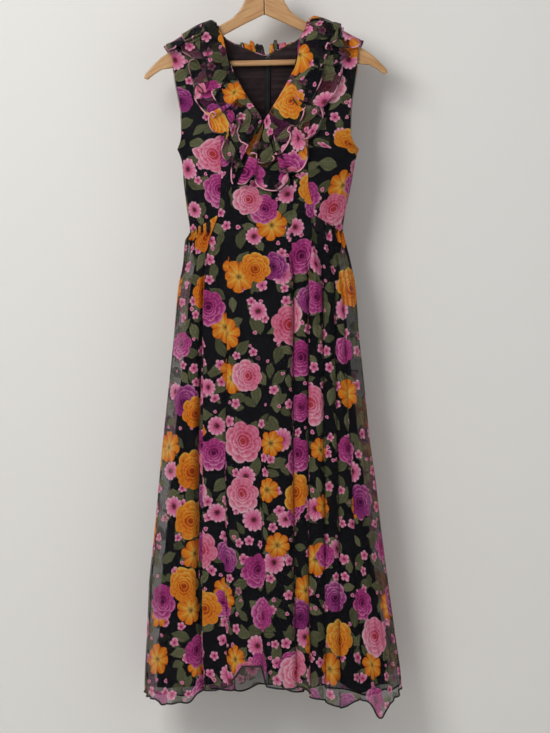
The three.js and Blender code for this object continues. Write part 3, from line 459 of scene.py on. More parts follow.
printLayers = [
    *layers("leaf", "cell size width share jitter", [(42, 19, 10, 0.74, 0.6), (37, 15, 7.5, 0.66, 0.8)]),
    *layers("flower", "cell size petals ink share heart notch inward jitter", [
        (27, 4.2, 3, "pink", 0.3, 0.0, 0.25, 0, 0.9), (31, 10.5, 5, "pink", 0.42, 0.1, 0.5, 0, 0.8),
        (74, 20, 12, "pink", 0.38, 0.2, 0.2, 0, 0.5), (98, 29, 7, "orange", 0.46, 0.13, 0.24, 1, 0.45),
    ]),
    *layers("rose", "cell size inks share jitter", [
        (92, 31, ("magenta", "violet"), 0.5, 0.45), (108, 36, ("rose", "orange"), 0.56, 0.45),
    ]),
]
chiffon = {  # alphas as the whole cloth hides what is behind it
    "groundAlpha": 0.5, "motifAlpha": 0.8, "frillGroundAlpha": 0.6, "frillMotifAlpha": 0.85,
    "roughness": 0.75, "sheen": 0.04, "gloss": 0.12, "weave": 0.25, "weaveScale": 2.2,
    "wander": 5, "wanderScale": 55, "start": (0.4, 1.7), "step": (7.3, 3.1),
}


def onePass(alpha):  # both faces of a thin wall together hide as much as the cloth does
    return 1 - math.sqrt(1 - alpha)


def setCover(tree, groundAlpha, motifAlpha):
    tree.nodes["motifCover"].inputs[1].default_value = onePass(motifAlpha) - onePass(groundAlpha)
    tree.nodes["groundCover"].inputs[1].default_value = onePass(groundAlpha)


def printMotif(tree, spot, layer):
    if layer["kind"] == "leaf":
        return leaves(tree, spot, layer["size"], layer["width"], layer["share"])
    if layer["kind"] == "rose":
        return roses(tree, spot, layer["size"], *layer["inks"], layer["share"])
    keys = ("size", "petals", "ink", "share", "heart", "notch", "inward")
    return blossoms(tree, spot, *(layer[key] for key in keys))


def printedChiffon(name):
    material, tree, shader = newMaterial(name)
    cloth = wandering(tree, chiffon["wander"], chiffon["wanderScale"])
    colour, cover = inks["ground"], None
    for i, layer in enumerate(printLayers):
        shift = [start + step * i for start, step in zip(chiffon["start"], chiffon["step"])]
        spot = scatter(tree, cloth, layer["cell"], shift, layer["jitter"])
        inside, ink = printMotif(tree, spot, layer)
        colour = blendColour(tree, inside, colour, ink)
        cover = inside if cover is None else cover.do("MAXIMUM", inside)
    part = cover * 1
    whole = part + 0
    part.socket.node.name, whole.socket.node.name = "motifCover", "groundCover"
    setCover(tree, chiffon["groundAlpha"], chiffon["motifAlpha"])
    plugAll(tree, shader, {"Base Color": colour, "Alpha": whole, "Roughness": chiffon["roughness"],
                           "Sheen Weight": chiffon["sheen"], "Specular IOR Level": chiffon["gloss"]})
    weave = noise(tree, spots(tree, "UV", 1 / mm), chiffon["weaveScale"])
    bump(tree, shader, weave, chiffon["weave"], 0.0003)
    return material


def plainCloth(name, dark, light, roughness, gloss, grain, crease=0.0):
    material, tree, shader = newMaterial(name)
    mottle = noise(tree, spots(tree, "UV", 1 / mm), 0.05, detail=4)
    plugAll(tree, shader, {"Base Color": ramp(tree, mottle, (0.3, dark), (0.7, light)),
                           "Roughness": roughness, "Specular IOR Level": gloss})
    threads = noise(tree, spots(tree, "UV", 1 / mm, 0.15 / mm), grain, detail=3)
    wrinkles = noise(tree, spots(tree, "UV", 0.014 / mm, 0.075 / mm), 1.0, detail=1)
    bump(tree, shader, threads * 0.02 + wrinkles * crease, 0.5, 0.006)
    return material


def metal(name, colour, roughness):
    material, tree, shader = newMaterial(name)
    scuffs = noise(tree, spots(tree, "Object", 400, 400, 90), 1.0, detail=4)
    worn = ramp(tree, scuffs, (0.25, tuple(c * 0.82 for c in colour)), (0.7, colour))
    plugAll(tree, shader, {"Base Color": worn, "Metallic": 1, "Roughness": roughness})
    bump(tree, shader, scuffs, 0.08, 0.0003)
    return material


def wood(name, turn):
    material, tree, shader = newMaterial(name)
    place = addNode(tree, "TexCoord", {}).outputs["Object"]
    inputs = {"Vector": place, "Rotation": (0, turn, 0)}
    turned = addNode(tree, "Mapping", inputs, vector_type="TEXTURE").outputs["Vector"]
    grain = addNode(tree, "VectorMath", {0: turned, 1: (9, 160, 160)}, operation="MULTIPLY").outputs[0]
    rings, fine = noise(tree, grain, 1.0, detail=5, rough=0.6), noise(tree, grain, 5.0)
    tone = rings * 0.75 + fine * 0.25
    colour = ramp(tree, tone, (0.30, (0.30, 0.135, 0.045)), (0.48, (0.47, 0.25, 0.10)),
                  (0.62, (0.56, 0.33, 0.15)), (0.8, (0.62, 0.39, 0.20)))
    plugAll(tree, shader, {"Base Color": colour, "Roughness": 0.42, "Coat Weight": 0.25,
                           "Coat Roughness": 0.25})
    bump(tree, shader, tone, 0.15, 0.0006)
    return material


def ribbon(name, dark, light, scale, share=0.5):  # the rolled edges' thread
    material, tree, shader = newMaterial(name)
    change = noise(tree, spots(tree, "Object", 1), scale, detail=2)
    colour = ramp(tree, change, (share - 0.07, dark), (share + 0.05, light))
    plugAll(tree, shader, {"Base Color": colour, "Roughness": 0.8})
    return material


print("materials")
chiffonPrint = printedChiffon("chiffonPrint")
frillPrint = chiffonPrint.copy()  # the frill is gathered closer, so that it hides more
frillPrint.name = "frillPrint"
setCover(frillPrint.node_tree, chiffon["frillGroundAlpha"], chiffon["frillMotifAlpha"])
satin = plainCloth("plumSatin", (0.011, 0.005, 0.007), (0.028, 0.012, 0.015), 0.4, 0.2, 1.2, crease=0.8)
liningCloth = plainCloth("blackLining", (0.004, 0.004, 0.006), (0.009, 0.009, 0.013), 0.6, 0.12, 1.6)
tape = plainCloth("zipTape", (0.008, 0.009, 0.010), (0.016, 0.017, 0.018), 0.75, 0.15, 0.9)
steel = metal("platedWire", (0.62, 0.62, 0.63), 0.28)
darkMetal = metal("darkZip", (0.05, 0.05, 0.055), 0.4)
blackEdge = ribbon("blackEdge", (0.006, 0.006, 0.009), (0.02, 0.016, 0.02), 60)
pinkEdge = ribbon("pinkEdge", (0.012, 0.010, 0.014), (0.76, 0.34, 0.44), 24, share=0.55)
gluedJoint = ribbon("gluedJoint", (0.04, 0.018, 0.008), (0.10, 0.045, 0.02), 90)


# Cloth on the frame's forms

def newObject(name, data):
    item = bpy.data.objects.new(name, data)
    bpy.context.scene.collection.objects.link(item)
    return item


def newMesh(name, bm):
    mesh = bpy.data.meshes.new(name)
    bm.to_mesh(mesh)
    bm.free()
    return mesh


def addPiece(name, mesh, material):
    piece = newObject(name, mesh)
    mesh.materials.clear()
    mesh.materials.append(material)
    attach(piece, "dress")
    return piece


def clothPattern(grid, band):  # each place's own on the flat cloth, in metres
    down, across = grid.shape[0] - 1, grid.shape[1] - 1
    wide = np.linalg.norm(np.diff(grid, axis=1), axis=2)
    long = np.linalg.norm(np.diff(grid, axis=0), axis=2)
    u = np.concatenate([np.zeros((down + 1, 1)), np.cumsum(wide, axis=1)], axis=1)
    v = -np.concatenate([np.zeros((1, across + 1)), np.cumsum(long, axis=0)], axis=0)
    if band:
        return np.repeat(u[down // 2][None, :], down + 1, 0), v
    middle = across // 2
    return u - u[:, middle:middle + 1], v + grid[0, :, 2][None, :]


panels, edges = {}, {}


def addPanel(name, place, across, down, material, replaces=(), side=-1, thick=0.5, shift=(0, 0),
             band=False):  # a sheet whose grid of points is set by place, thickened inwards
    bm = bmesh.new()
    bmesh.ops.create_grid(bm, x_segments=across, y_segments=down, size=1)
    if side > 0:
        bmesh.ops.reverse_faces(bm, faces=bm.faces)
    mesh = newMesh(name, bm)
    flat = np.empty(len(mesh.vertices) * 3)
    mesh.vertices.foreach_get("co", flat)
    flat = flat.reshape(-1, 3)
    column = np.rint((flat[:, 0] + 1) / 2 * across).astype(int)
    row = np.rint((1 - flat[:, 1]) / 2 * down).astype(int)
    grid = place(np.linspace(0, 1, across + 1)[None, :], np.linspace(0, 1, down + 1)[:, None]) * mm
    mesh.vertices.foreach_set("co", grid[row, column].ravel())
    u, v = clothPattern(grid, band)
    corner = np.empty(len(mesh.loops), int)
    mesh.loops.foreach_get("vertex_index", corner)
    pattern = mesh.uv_layers.new(name="UVMap")
    pairs = np.stack([u[row, column] + shift[0], v[row, column] + shift[1]], 1)[corner]
    pattern.uv.foreach_set("vector", pairs.astype(np.float32).ravel())
    mesh.update()
    mesh.polygons.foreach_set("use_smooth", np.ones(len(mesh.polygons), bool))
    piece = addPiece(name + "_cloth", mesh, material)
    wall = piece.modifiers.new("wall", "SOLIDIFY")
    wall.thickness, wall.offset = thick * mm, -1
    if replaces:
        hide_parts(*replaces)
    panels[name], edges[name] = piece, grid


def edging(name, points, radius, material):  # a thin roll of cloth along an edge
    line = bpy.data.curves.new(name, "CURVE")
    line.dimensions, line.bevel_depth, line.bevel_resolution = "3D", radius * mm, 1
    line.use_fill_caps = True
    strand = line.splines.new("POLY")
    strand.points.add(len(points) - 1)
    strand.points.foreach_set("co", np.c_[points, np.ones(len(points))].ravel())
    source = newObject(name + "Line", line)
    bpy.context.view_layer.update()
    mesh = bpy.data.meshes.new_from_object(source.evaluated_get(bpy.context.evaluated_depsgraph_get()))
    bpy.data.objects.remove(source)
    mesh.name = name
    return addPiece(name, mesh, material)


# Where each panel's rows and edges run

frontNeckZ, backNeckZ = curve(frontNeck, "x", "z"), curve(backNeck, "x", "z")
leftSeam, rightSeam = curve(frontSeams, "z", "left"), curve(frontSeams, "z", "right")
armholeReach = {-1: curve(armhole, "z", "left"), 1: curve(armhole, "z", "right")}
bodiceRows = {"shoulder": 6, "arm": 44, "waist": 26}
columnHeights = (-140, -312, -484, cut["hem"])
topRange, hemRange, waistRange = (-330, -100), (-1420, -1250), (-530, -470)


def beside(x, z, way):
    return angleAt(x + way * cut["seam"] / 2, z)


def topLine(neck):
    def height(x):
        outside = (x < cut["neckLeft"]) | (x > cut["neckRight"])
        return np.where(outside, shoulderZ(x), neck(x))
    return height


def rowHeights(v, top, foot, below=0):  # over the shoulder's roll, to the underarm, the waist and the hem
    marks = np.cumsum([0, *bodiceRows.values(), below])
    place = v * marks[-1]
    roll, arm, waist = (np.clip((place - marks[i]) / (marks[i + 1] - marks[i]), 0, 1) for i in range(3))
    z = top - cut["roll"] * roll ** 2
    z = z + (cut["underarm"] - (top - cut["roll"])) * arm
    waistZ = cut["waistFront"] if below else foot
    z = z + (waistZ - cut["underarm"]) * waist
    if below:
        z = z + (foot - cut["waistFront"]) * np.clip((place - marks[3]) / below, 0, 1)
    return z


def bodice(side, low, high, top, foot, inset=0.0):
    def place(u, v):
        def angle(z):
            return mix(low(z), high(z), u)
        topZ = meeting(top, angle, topRange, u.shape)
        z = rowHeights(v, topZ, foot(lambda z: reachAt(angle(z), z), u.shape))
        return dressPoint(angle(z), z, side, inset, bodiceCreases(angle(z), z, side))
    return place


creases = {"above": 20, "fade": 120, "wide": (0.8, 11, 38), "fine": (0.5, 23, 21)}


def bodiceCreases(angle, z, side):  # soft drag lines from the waist towards the bust
    (wide, wides, slant), (fine, fines, back) = creases["wide"], creases["fine"]
    fall = ease((cut["underarm"] + creases["above"] - z) / creases["fade"])
    return fall * (wide * np.sin(angle * wides + z / slant) + fine * np.sin(angle * fines - z / back + side))


def armEdge(hand, side):
    def angle(z):
        share = np.clip((z - cut["underarm"]) / (armhole["z"][0] - cut["underarm"]), 0, 1)
        swell = 3 * np.sin(np.pi * share) if side > 0 else 0
        reach = hand * (armholeReach[hand](z) + swell)
        return np.where(z <= cut["underarm"], hand * np.pi / 2, angleAt(reach, z))
    return angle


def waistLine(x):
    leftX, rightX = leftSeam(cut["waistFront"]), rightSeam(cut["waistFront"])
    leftRun = (leftX - x) / (leftReach(cut["waistSide"]) + leftX)
    rightRun = (x - rightX) / (rightReach(cut["waistSide"]) - rightX)
    return mix(cut["waistFront"], cut["waistSide"], np.clip(np.maximum(leftRun, rightRun), 0, 1))


def meeting(line, angle, span, count):  # the height at which each column comes to a line
    return crossing(lambda z: z - line(reachAt(angle(z), z)), *span, count)


def onWaistLine(reach, count):
    return crossing(lambda z: z - waistLine(reach(z)), *waistRange, count)


def centreFront(inset=0.0, foot=None, folded=True):  # down to the hem, or to the foot of a lining
    keys = ("shoulder", "bust", "waist", "hem")
    table = [angleAt(centreColumns[key], z) for key, z in zip(keys, columnHeights)]
    last = len(table[0]) + 1
    high, low = columnHeights[:2]
    depths = [-height for height in columnHeights]

    def angle(u, z):
        inner = np.empty((last + 1, *np.broadcast(u, z).shape))
        z = np.broadcast_to(z, inner.shape[1:])
        inner[0], inner[last] = beside(leftSeam(z), z, 1), beside(rightSeam(z), z, -1)
        for k in range(1, last):
            angles = [row[k - 1] for row in table]
            slope = (angles[1] - angles[0]) / (low - high)
            inner[k] = np.where(z > high, angles[0] + slope * (z - high), np.interp(-z, depths, angles))
        place = np.broadcast_to(u, inner.shape[1:]) * last
        j = np.clip(np.floor(place).astype(int), 0, last - 1)
        a = np.take_along_axis(inner, j[None], 0)[0]
        b = np.take_along_axis(inner, j[None] + 1, 0)[0]
        return mix(a, b, place - j)

    hem = curve(frontHem, "x", "z")

    def place(u, v):
        def column(z):
            return angle(u, z)
        topZ = meeting(topLine(frontNeckZ), column, topRange, u.shape)
        if foot is None:
            footZ = meeting(hem, column, hemRange, u.shape)
            z = rowHeights(v, topZ, footZ, below=150)
        else:
            z = rowHeights(v, topZ, np.full(u.shape, foot))
        around = column(z)
        relief = bodiceCreases(around, z, -1) * ease((z + 560) / 60)
        if folded:
            relief = relief + foldRelief(frontFolds, around, z) + ripples(around, z, -1)
            around = lapped(frontFolds, around, z)
        return dressPoint(around, z, -1, inset, relief)
    return place


rippleWaves = [(1.7, 31, 2.2, 260, 1), (1.0, 53, 1.7, 170, -1)]  # height, waves, sway, its length and way


def ripples(angle, z, side):  # small soft folds between the large ones, wider and deeper towards the hem
    run = np.clip((cut["waistSide"] - z) / (cut["waistSide"] - cut["hem"]), 0, 1)
    drift = angle * 9 + side
    return run ** 0.7 * sum(height * np.sin(angle * waves + sway * np.sin(z / length + way * drift))
                            for height, waves, sway, length, way in rippleWaves)


gathers = {"height": 3.1, "reach": 150, "waves": 42, "above": 26, "sway": 1.4, "swayLength": 70, "start": 12}


def gathered(angle, z):  # the fullness drawn up on the waist seam of the side skirts
    down = np.maximum(cut["waistSide"] + gathers["above"] - z, 0)
    sway = gathers["sway"] * np.sin(down / gathers["swayLength"]) + 3 * np.sin(angle * 5)
    height = gathers["height"] * np.exp(-down / gathers["reach"]) * ease(down / gathers["start"])
    return height * np.sin(angle * gathers["waves"] + sway)


hemWaves = [(2.2, 19, 1), (1.2, 37, 0)]  # height, waves, and whether front and back differ


def skirt(side, low, high, top, hem, folds=None, inset=lambda z: 0.0):  # a lining has no folds
    hemZ = curve(hem, "x", "z")

    def place(u, v):
        def angle(z):
            return mix(low(z), high(z), u)
        topZ = top(lambda z: reachAt(angle(z), z), u.shape)
        footZ = meeting(hemZ, angle, hemRange, u.shape)
        if folds is not None:
            around = angle(footZ)
            footZ = footZ + sum(height * np.sin(around * waves + side * own)
                                for height, waves, own in hemWaves)
        z = mix(topZ, footZ, v ** 1.15)
        around = angle(z)
        if folds is None:
            return dressPoint(around, z, side, inset(z))
        relief = foldRelief(folds, around, z) + ripples(around, z, side) + gathered(around, z)
        return dressPoint(lapped(folds, around, z), z, side, inset(z), relief)
    return place


def liningInset(z):
    drop = ease((cut["waistSide"] - z) / (cut["waistSide"] - cut["hip"]))
    return cut["liningGap"] + cut["liningDrop"] * drop


def level(height):
    return lambda reach, count: np.full(count, float(height))


print("panels")
hands = {"left": -1, "right": 1}
frontSeam = {-1: leftSeam, 1: rightSeam}
zipEdge = {way: (lambda z, way=way: beside(cut["zip"], z, way)) for way in (-1, 1)}
seamEdge = {way: (lambda z, way=way: beside(frontSeam[way](z), z, way)) for way in (-1, 1)}
sideEdge = {way: (lambda z, way=way: way * np.pi / 2 + 0 * z) for way in (-1, 1)}
thin = {"inset": 0.75, "thick": 0.3}  # the front bodice's lining, which lies against it
halfSeam = cut["waistSeam"] / 2
bodiceFoot, skirtTop = level(cut["waistSide"] + halfSeam), level(cut["waistSide"] - halfSeam)


def between(outer, inner, sign):  # a panel's low and high edge, on the left or the right of the dress
    return (outer, inner) if sign < 0 else (inner, outer)


def frontWaist(step):
    return lambda reach, count: onWaistLine(reach, count) + step


def liningTop(x):
    neck = topLine(backNeckZ)(x) - cut["liningGap"]
    return np.minimum(neck, shoulderZ(x) - cut["roll"] - 2)


addPanel("front_centre", centreFront(), 176, 190, chiffonPrint, ["front_centre_panel"])
for hand, sign in hands.items():
    bodiceEdges = between(armEdge(sign, -1), seamEdge[sign], sign)
    addPanel(f"bodice_side_{hand}", bodice(-1, *bodiceEdges, shoulderZ, frontWaist(halfSeam)),
             56, 76, chiffonPrint, [f"front_side_bodice_{hand}"], shift=(0.61 * sign, 0.35))
    skirtEdges = between(sideEdge[sign], seamEdge[sign], sign)
    addPanel(f"skirt_side_{hand}", skirt(-1, *skirtEdges, frontWaist(-halfSeam), frontHem, frontFolds),
             104 if sign < 0 else 144, 150, chiffonPrint, [f"front_side_skirt_{hand}"],
             shift=(0.93 * sign, 0.8))
    bodiceEdges = between(armEdge(sign, 1), zipEdge[sign], sign)
    addPanel(f"back_bodice_{hand}", bodice(1, *bodiceEdges, topLine(backNeckZ), bodiceFoot),
             90, 76, chiffonPrint, [f"back_bodice_{hand}"], 1, shift=(1.7 * sign, 0.2))
    addPanel(f"back_bodice_lining_{hand}", bodice(1, *bodiceEdges, liningTop, bodiceFoot, cut["liningGap"]),
             60, 60, satin, [f"back_bodice_lining_{hand}"], 1)
    skirtEdges = between(sideEdge[sign], zipEdge[sign], sign)
    addPanel(f"back_skirt_{hand}", skirt(1, *skirtEdges, skirtTop, backHem, backFolds),
             120, 150, chiffonPrint, [f"back_skirt_{hand}"], 1, shift=(2.4 * sign, 0.5))

addPanel("bodice_lining_front", centreFront(thin["inset"], cut["waistSide"] - 9, False), 100, 90,
         liningCloth, thick=thin["thick"])
for hand, sign in hands.items():
    bodiceEdges = between(armEdge(sign, -1), seamEdge[sign], sign)
    addPanel(f"bodice_lining_side_{hand}",
             bodice(-1, *bodiceEdges, shoulderZ, level(cut["waistSide"]), thin["inset"]), 40, 70,
             liningCloth, thick=thin["thick"])
for face, side, hem in (("front", -1, frontLiningHem), ("back", 1, backLiningHem)):
    liningSkirt = skirt(side, sideEdge[-1], sideEdge[1], skirtTop, hem, inset=liningInset)
    name = f"skirt_lining_{face}"
    addPanel(name, liningSkirt, 90, 70, liningCloth, [name], side)


zipDepth = {"tape": 0.6, "teeth": 1.1, "halfTape": 5.2}


def besideZip(z, depth):  # down the zip, inside the lining
    return dressPoint(angleAt(cut["zip"], z), z, 1, liningInset(z) + cut["liningGap"] + depth)


def zipTapes(u, v):  # both tapes as one strip behind the closed teeth
    z = mix(cut["zipTop"], cut["zipEnd"], v)
    y = besideZip(z, zipDepth["tape"])[..., 1]
    return np.stack(np.broadcast_arrays(cut["zip"] + zipDepth["halfTape"] * (2 * u - 1), y, z), -1)


addPanel("zip_tapes", zipTapes, 8, 120, tape, ["zip_tape"], 1, thick=0.4)


# The neck frill

frillShape = {
    "waves": 9, "height": 13, "ridge": 2, "seat": 1.9, "across": 420, "down": 22, "upperReach": 0.64,
    "slip": 0.036, "meander": 0.13, "stand": 1.7, "spring": 4, "aboveLower": 1.5, "upperHeight": 7,
    "flutter": 1.2, "flutters": 23, "turn": {"left": 0.6, "right": 2.4},
}


def frillCourse(rows):
    share = np.linspace(0, 1, len(rows["x"]))
    heading = np.radians(rows["heading"])
    run = rows["width"] * np.cos(heading)
    sink = (shoulderZ(rows["x"] + run) - shoulderZ(rows["x"])) / rows["width"]
    table = {
        "share": share, "x": rows["x"], "width": rows["width"], "crest": rows["crest"],
        "fall": rows["side"] * np.maximum(shoulderZ(rows["x"]) - rows["z"], 0),
        "outX": np.cos(heading), "outFall": rows["side"] * (sink - np.sin(heading)),
    }
    return {key: curve(table, "share", key) for key in ("x", "fall", "outX", "outFall", "width", "crest")}


def shoulderPoint(x, fall):
    roll, down = cut["roll"], np.abs(fall)
    z = shoulderZ(x) - np.where(down < roll, roll * (1 - np.cos(down / roll * np.pi / 2)), down)
    front = dressPoint(angleAt(x, z), z, -1)
    back = dressPoint(angleAt(x, z), z, 1)
    return np.where((fall < 0)[..., None], front, back)


def unit(vectors):
    return vectors / np.maximum(np.linalg.norm(vectors, axis=-1, keepdims=True), 1e-9)


def frillTier(rows, upper, turn):
    course = frillCourse(rows)
    shape = frillShape

    def place(u, v):
        mark, t = np.broadcast_arrays(u, v * (shape["upperReach"] if upper else 1))
        whole = 2 * np.pi * mark
        phase = shape["waves"] * whole + 0.4 * np.pi * upper + 0.9 * np.sin(2.3 * whole + turn)
        wave = 0.5 - 0.5 * np.cos(phase)
        swell = 0.75 + 0.35 * np.sin(3.1 * whole + 2 * turn + upper)
        middle = np.sin(np.clip(whole / 2, 0, np.pi)) ** 0.3
        share = np.clip(mark + shape["slip"] * swell * ease(t * 1.6) * np.sin(phase) * middle, 0, 1)
        width = course["width"](share)
        distance = t * width * (1 + shape["meander"] * np.sin(phase + 1.1) * t)
        x = course["x"](share) + course["outX"](share) * distance
        fall = course["fall"](share) + course["outFall"](share) * distance
        step = 0.5
        aside = shoulderPoint(x, fall + step) - shoulderPoint(x, fall - step)
        slope = (shoulderZ(x + step) - shoulderZ(x - step)) / (2 * step)
        normal = unit(np.cross(aside, np.stack([np.ones_like(slope), np.zeros_like(slope), slope], -1)))
        outwards = np.stack([np.zeros_like(fall), fall / cut["roll"], np.ones_like(fall)], -1)
        normal = np.where((normal * outwards).sum(-1, keepdims=True) < 0, -normal, normal)
        lift = shape["seat"] + shape["ridge"] * (1 - ease((np.abs(fall) - 4) / 10))
        lift = lift + shape["spring"] * ease(t * 2.5) + shape["height"] * wave * t ** 1.2
        behind = ease((fall - 10) / 20)
        crumple = 1 + 0.25 * np.sin(31 * whole + turn) + 0.2 * np.sin(47 * whole)
        crest = course["crest"](share) * mix(1, shape["stand"] * crumple * ease((1 - mark) / 0.012), behind)
        crest = crest * ease(t * 9) * (1 - 0.6 * ease((t - 0.3) / 0.6))
        base = shoulderPoint(x, fall) + normal * lift[..., None]
        base[..., 2] += crest
        aside = unit(np.cross(np.gradient(base, axis=1), np.gradient(base, axis=0)))
        aside = aside * np.sign((aside * normal).sum())
        lift = shape["flutter"] * np.sin(shape["flutters"] * whole + 0.6 * np.pi * upper + turn) * t ** 2
        if upper:
            lift = lift + shape["aboveLower"] + shape["flutter"] + shape["upperHeight"] * wave * t ** 1.5
        return base + aside * lift[..., None]
    return place


print("frill")
rollRadius, rolls = {"frill": 1.2, "hem": 1.6}, {}
for hand, rows in (("left", frillLeft), ("right", frillRight)):
    for tier in ("lower", "upper"):
        name, upper = f"frill_{tier}_{hand}", tier == "upper"
        addPanel(name, frillTier(rows, upper, frillShape["turn"][hand]), frillShape["across"],
                 frillShape["down"], frillPrint, [name], -hands[hand], band=True,
                 shift=(0.3 if upper else 0, 0.5 if hand == "left" else 0))
        rolls[name] = edging(f"frill_roll_{tier}_{hand}", edges[name][-1], rollRadius["frill"], pinkEdge)

for name in ("front_centre", "skirt_side_left", "skirt_side_right", "back_skirt_left", "back_skirt_right"):
    rolls[name] = edging(f"hem_roll_{name}", edges[name][-1], rollRadius["hem"], blackEdge)


print("hanger and trims")
grainTurn = math.radians(26)
nodeMaterials = {
    "hanger_arm_left": wood("wood_left", -grainTurn), "hanger_arm_right": wood("wood_right", grainTurn),
    "hanger_bar": wood("wood_bar", cut["hangerTilt"]), "hanger_hook": steel, "hook": steel, "eye": steel,
    "zip_slider": darkMetal, "zip_pull": darkMetal,
}
for name, material in nodeMaterials.items():
    nodes[name].data.materials.clear()
    nodes[name].data.materials.append(material)

glueLine = {"z": -87, "line": (0.26, 11.4, 58), "nickZ": -117.8, "nick": (1.6, 11.4, 2.4), "tip": 0.2}
teeth = {"pitch": 1.6, "size": (2.0, 0.9, 0.9), "aside": 0.7, "above": 4, "below": 6, "proud": 0.3}


def addSolid(name, bm, material):
    bmesh.ops.recalc_face_normals(bm, faces=bm.faces)
    addPiece(name, newMesh(name, bm), material)


def block(bm, spot, size):
    fresh = bmesh.ops.create_cube(bm, size=1)["verts"]
    bmesh.ops.scale(bm, vec=[side * mm for side in size], verts=fresh)
    bmesh.ops.translate(bm, vec=[place * mm for place in spot], verts=fresh)
    return fresh


def addGlueLine():  # the dark line where the two arms meet, with the small nick under it
    bm = bmesh.new()
    block(bm, (0, 0, glueLine["z"]), glueLine["line"])
    nick = block(bm, (0, 0, glueLine["nickZ"]), glueLine["nick"])
    low = [v for v in nick if v.co.z < glueLine["nickZ"] * mm]
    bmesh.ops.scale(bm, vec=(glueLine["tip"], 1, 1), verts=low)
    spin = Matrix.Rotation(-cut["hangerTilt"], 3, "Y")
    bmesh.ops.rotate(bm, cent=(0, 0, 0), matrix=spin, verts=bm.verts)
    addSolid("glue_line", bm, gluedJoint)


def addZipTeeth():  # two rows, locked together down the middle of the tape
    top, foot = cut["zipTop"] - teeth["above"], cut["zipEnd"] + teeth["below"]
    bm = bmesh.new()
    for i, z in enumerate(np.arange(top, foot, -teeth["pitch"])):
        x, y, _ = besideZip(z, zipDepth["teeth"])
        aside = teeth["aside"] if i % 2 else -teeth["aside"]
        block(bm, (x + aside, y - teeth["proud"], z), teeth["size"])
    addSolid("zip_teeth", bm, darkMetal)


addGlueLine()
addZipTeeth()

# Each sheet as it was cut, in metres: its width, length and area. The two of a pair are cut alike
flatCuts = {
    "front_centre": (0.29, 1.23, 0.240, "hung"),
    "bodice_side": (0.11, 0.38, 0.027, "hung"),
    "skirt_side": (0.29, 0.89, 0.145, "gathered"),
    "back_bodice": (0.18, 0.41, 0.060, "hung"),
    "back_bodice_lining": (0.17, 0.39, 0.056, "hung"),
    "back_skirt": (0.32, 0.85, 0.203, "hung"),
    "bodice_lining_front": (0.19, 0.41, 0.055, "hung"),
    "bodice_lining_side": (0.10, 0.39, 0.027, "hung"),
    "skirt_lining_front": (0.52, 0.84, 0.300, "hung"),
    "skirt_lining_back": (0.47, 0.84, 0.286, "hung"),
    "zip_tapes": (0.0104, 0.445, 0.0046, "hung"),
    "frill_lower": (0.98, 0.14, 0.052, "gathered"),
    "frill_upper": (0.86, 0.10, 0.034, "gathered"),
}
for name, piece in panels.items():
    width, length, area, held = flatCuts[name.removesuffix("_left").removesuffix("_right")]
    [rolls[name]] if name in rolls else []


# Stage, light and camera

print("stage")
stage = {
    "wall": 0.10, "floor": -1.62, "width": 6.0, "height": 4.2, "bend": 0.12, "tone": (0.80, 0.795, 0.78),
    "room": (0.95, 0.945, 0.93), "roomStrength": 0.26,
}
lights = {
    "window": {"energy": 52, "size": 1.2, "spot": (-1.3, -2.2, 0.75), "aim": (0, 0, -0.5),
               "colour": (1.0, 0.985, 0.96)},
    "fill": {"energy": 9, "size": 2.0, "spot": (1.8, -2.2, -0.4), "aim": (0, 0, -0.8),
             "colour": (1.0, 0.95, 0.92)},
}


def lies(edge, axis, place):
    return all(abs(getattr(v.co, axis) - place) < 1e-4 for v in edge.verts)


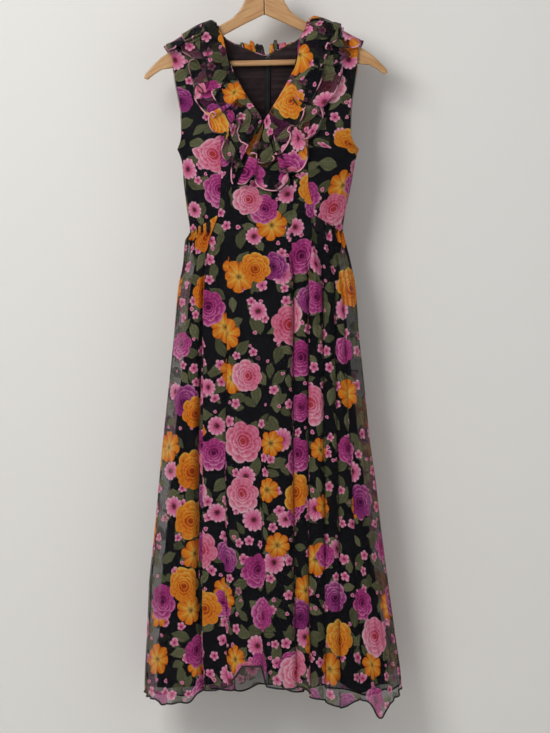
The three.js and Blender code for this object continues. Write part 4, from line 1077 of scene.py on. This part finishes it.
def addStage():
    bm = bmesh.new()
    bmesh.ops.create_grid(bm, x_segments=1, y_segments=1, size=stage["width"] / 2)
    bmesh.ops.translate(bm, verts=bm.verts, vec=(0, stage["wall"] - stage["width"] / 2, stage["floor"]))
    back = [edge for edge in bm.edges if lies(edge, "y", stage["wall"])]
    rise = bmesh.ops.extrude_edge_only(bm, edges=back)["geom"]
    tops = [v for v in rise if isinstance(v, bmesh.types.BMVert)]
    bmesh.ops.translate(bm, verts=tops, vec=(0, 0, stage["height"]))
    bend = [edge for edge in bm.edges if lies(edge, "y", stage["wall"]) and lies(edge, "z", stage["floor"])]
    bmesh.ops.bevel(bm, geom=bend, offset=stage["bend"], segments=8, affect="EDGES", profile=0.5,
                    material=-1)
    bmesh.ops.recalc_face_normals(bm, faces=bm.faces)
    if max(bm.faces, key=lambda face: abs(face.normal.y)).normal.y > 0:
        bmesh.ops.reverse_faces(bm, faces=bm.faces)
    backdrop = newObject("backdrop", newMesh("backdrop", bm))
    backdrop.data.materials.append(wallPaint())


def wallPaint():  # clear from behind, so that the dress shows from every side
    material, tree, shader = newMaterial("paleWall")
    plugAll(tree, shader, {"Base Color": (*stage["tone"], 1), "Roughness": 0.9})
    facing = addNode(tree, "NewGeometry", {}).outputs["Backfacing"]
    clear = addNode(tree, "BsdfTransparent", {}).outputs[0]
    choose = addNode(tree, "MixShader", {"Fac": facing, 1: shader.outputs[0], 2: clear})
    tree.links.new(choose.outputs[0], tree.nodes["Material Output"].inputs["Surface"])
    return material


def addLight(name, energy, size, spot, aim, colour):
    light = bpy.data.lights.new(name, "AREA")
    light.energy, light.size, light.color = energy, size, colour
    lamp = newObject(name, light)
    lamp.location = spot
    away = np.array(aim) - np.array(spot)
    tilt, turn = math.acos(-away[2] / np.linalg.norm(away)), math.atan2(away[1], away[0])
    lamp.rotation_euler = (tilt, 0, turn - math.pi / 2)


addStage()
for name, settings in lights.items():
    addLight(name, **settings)
world = bpy.data.worlds.new("room")
bpy.context.scene.world = world
world.use_nodes = True
air = world.node_tree
plugAll(air, air.nodes["Background"], {"Color": (*stage["room"], 1), "Strength": stage["roomStrength"]})
bpy.context.scene.view_settings.view_transform = "Standard"

view = {"centre": (0.0219, -0.7597), "height": 1.337, "distance": 7.0, "sensor": 36}
lens = bpy.data.cameras.new("camera")
lens.sensor_width = view["sensor"]
lens.lens = view["sensor"] * view["distance"] / view["height"]
camera = newObject("camera", lens)
camera.location = (view["centre"][0], -view["distance"], view["centre"][1])
camera.rotation_euler = (math.pi / 2, 0, 0)
bpy.context.scene.camera = camera
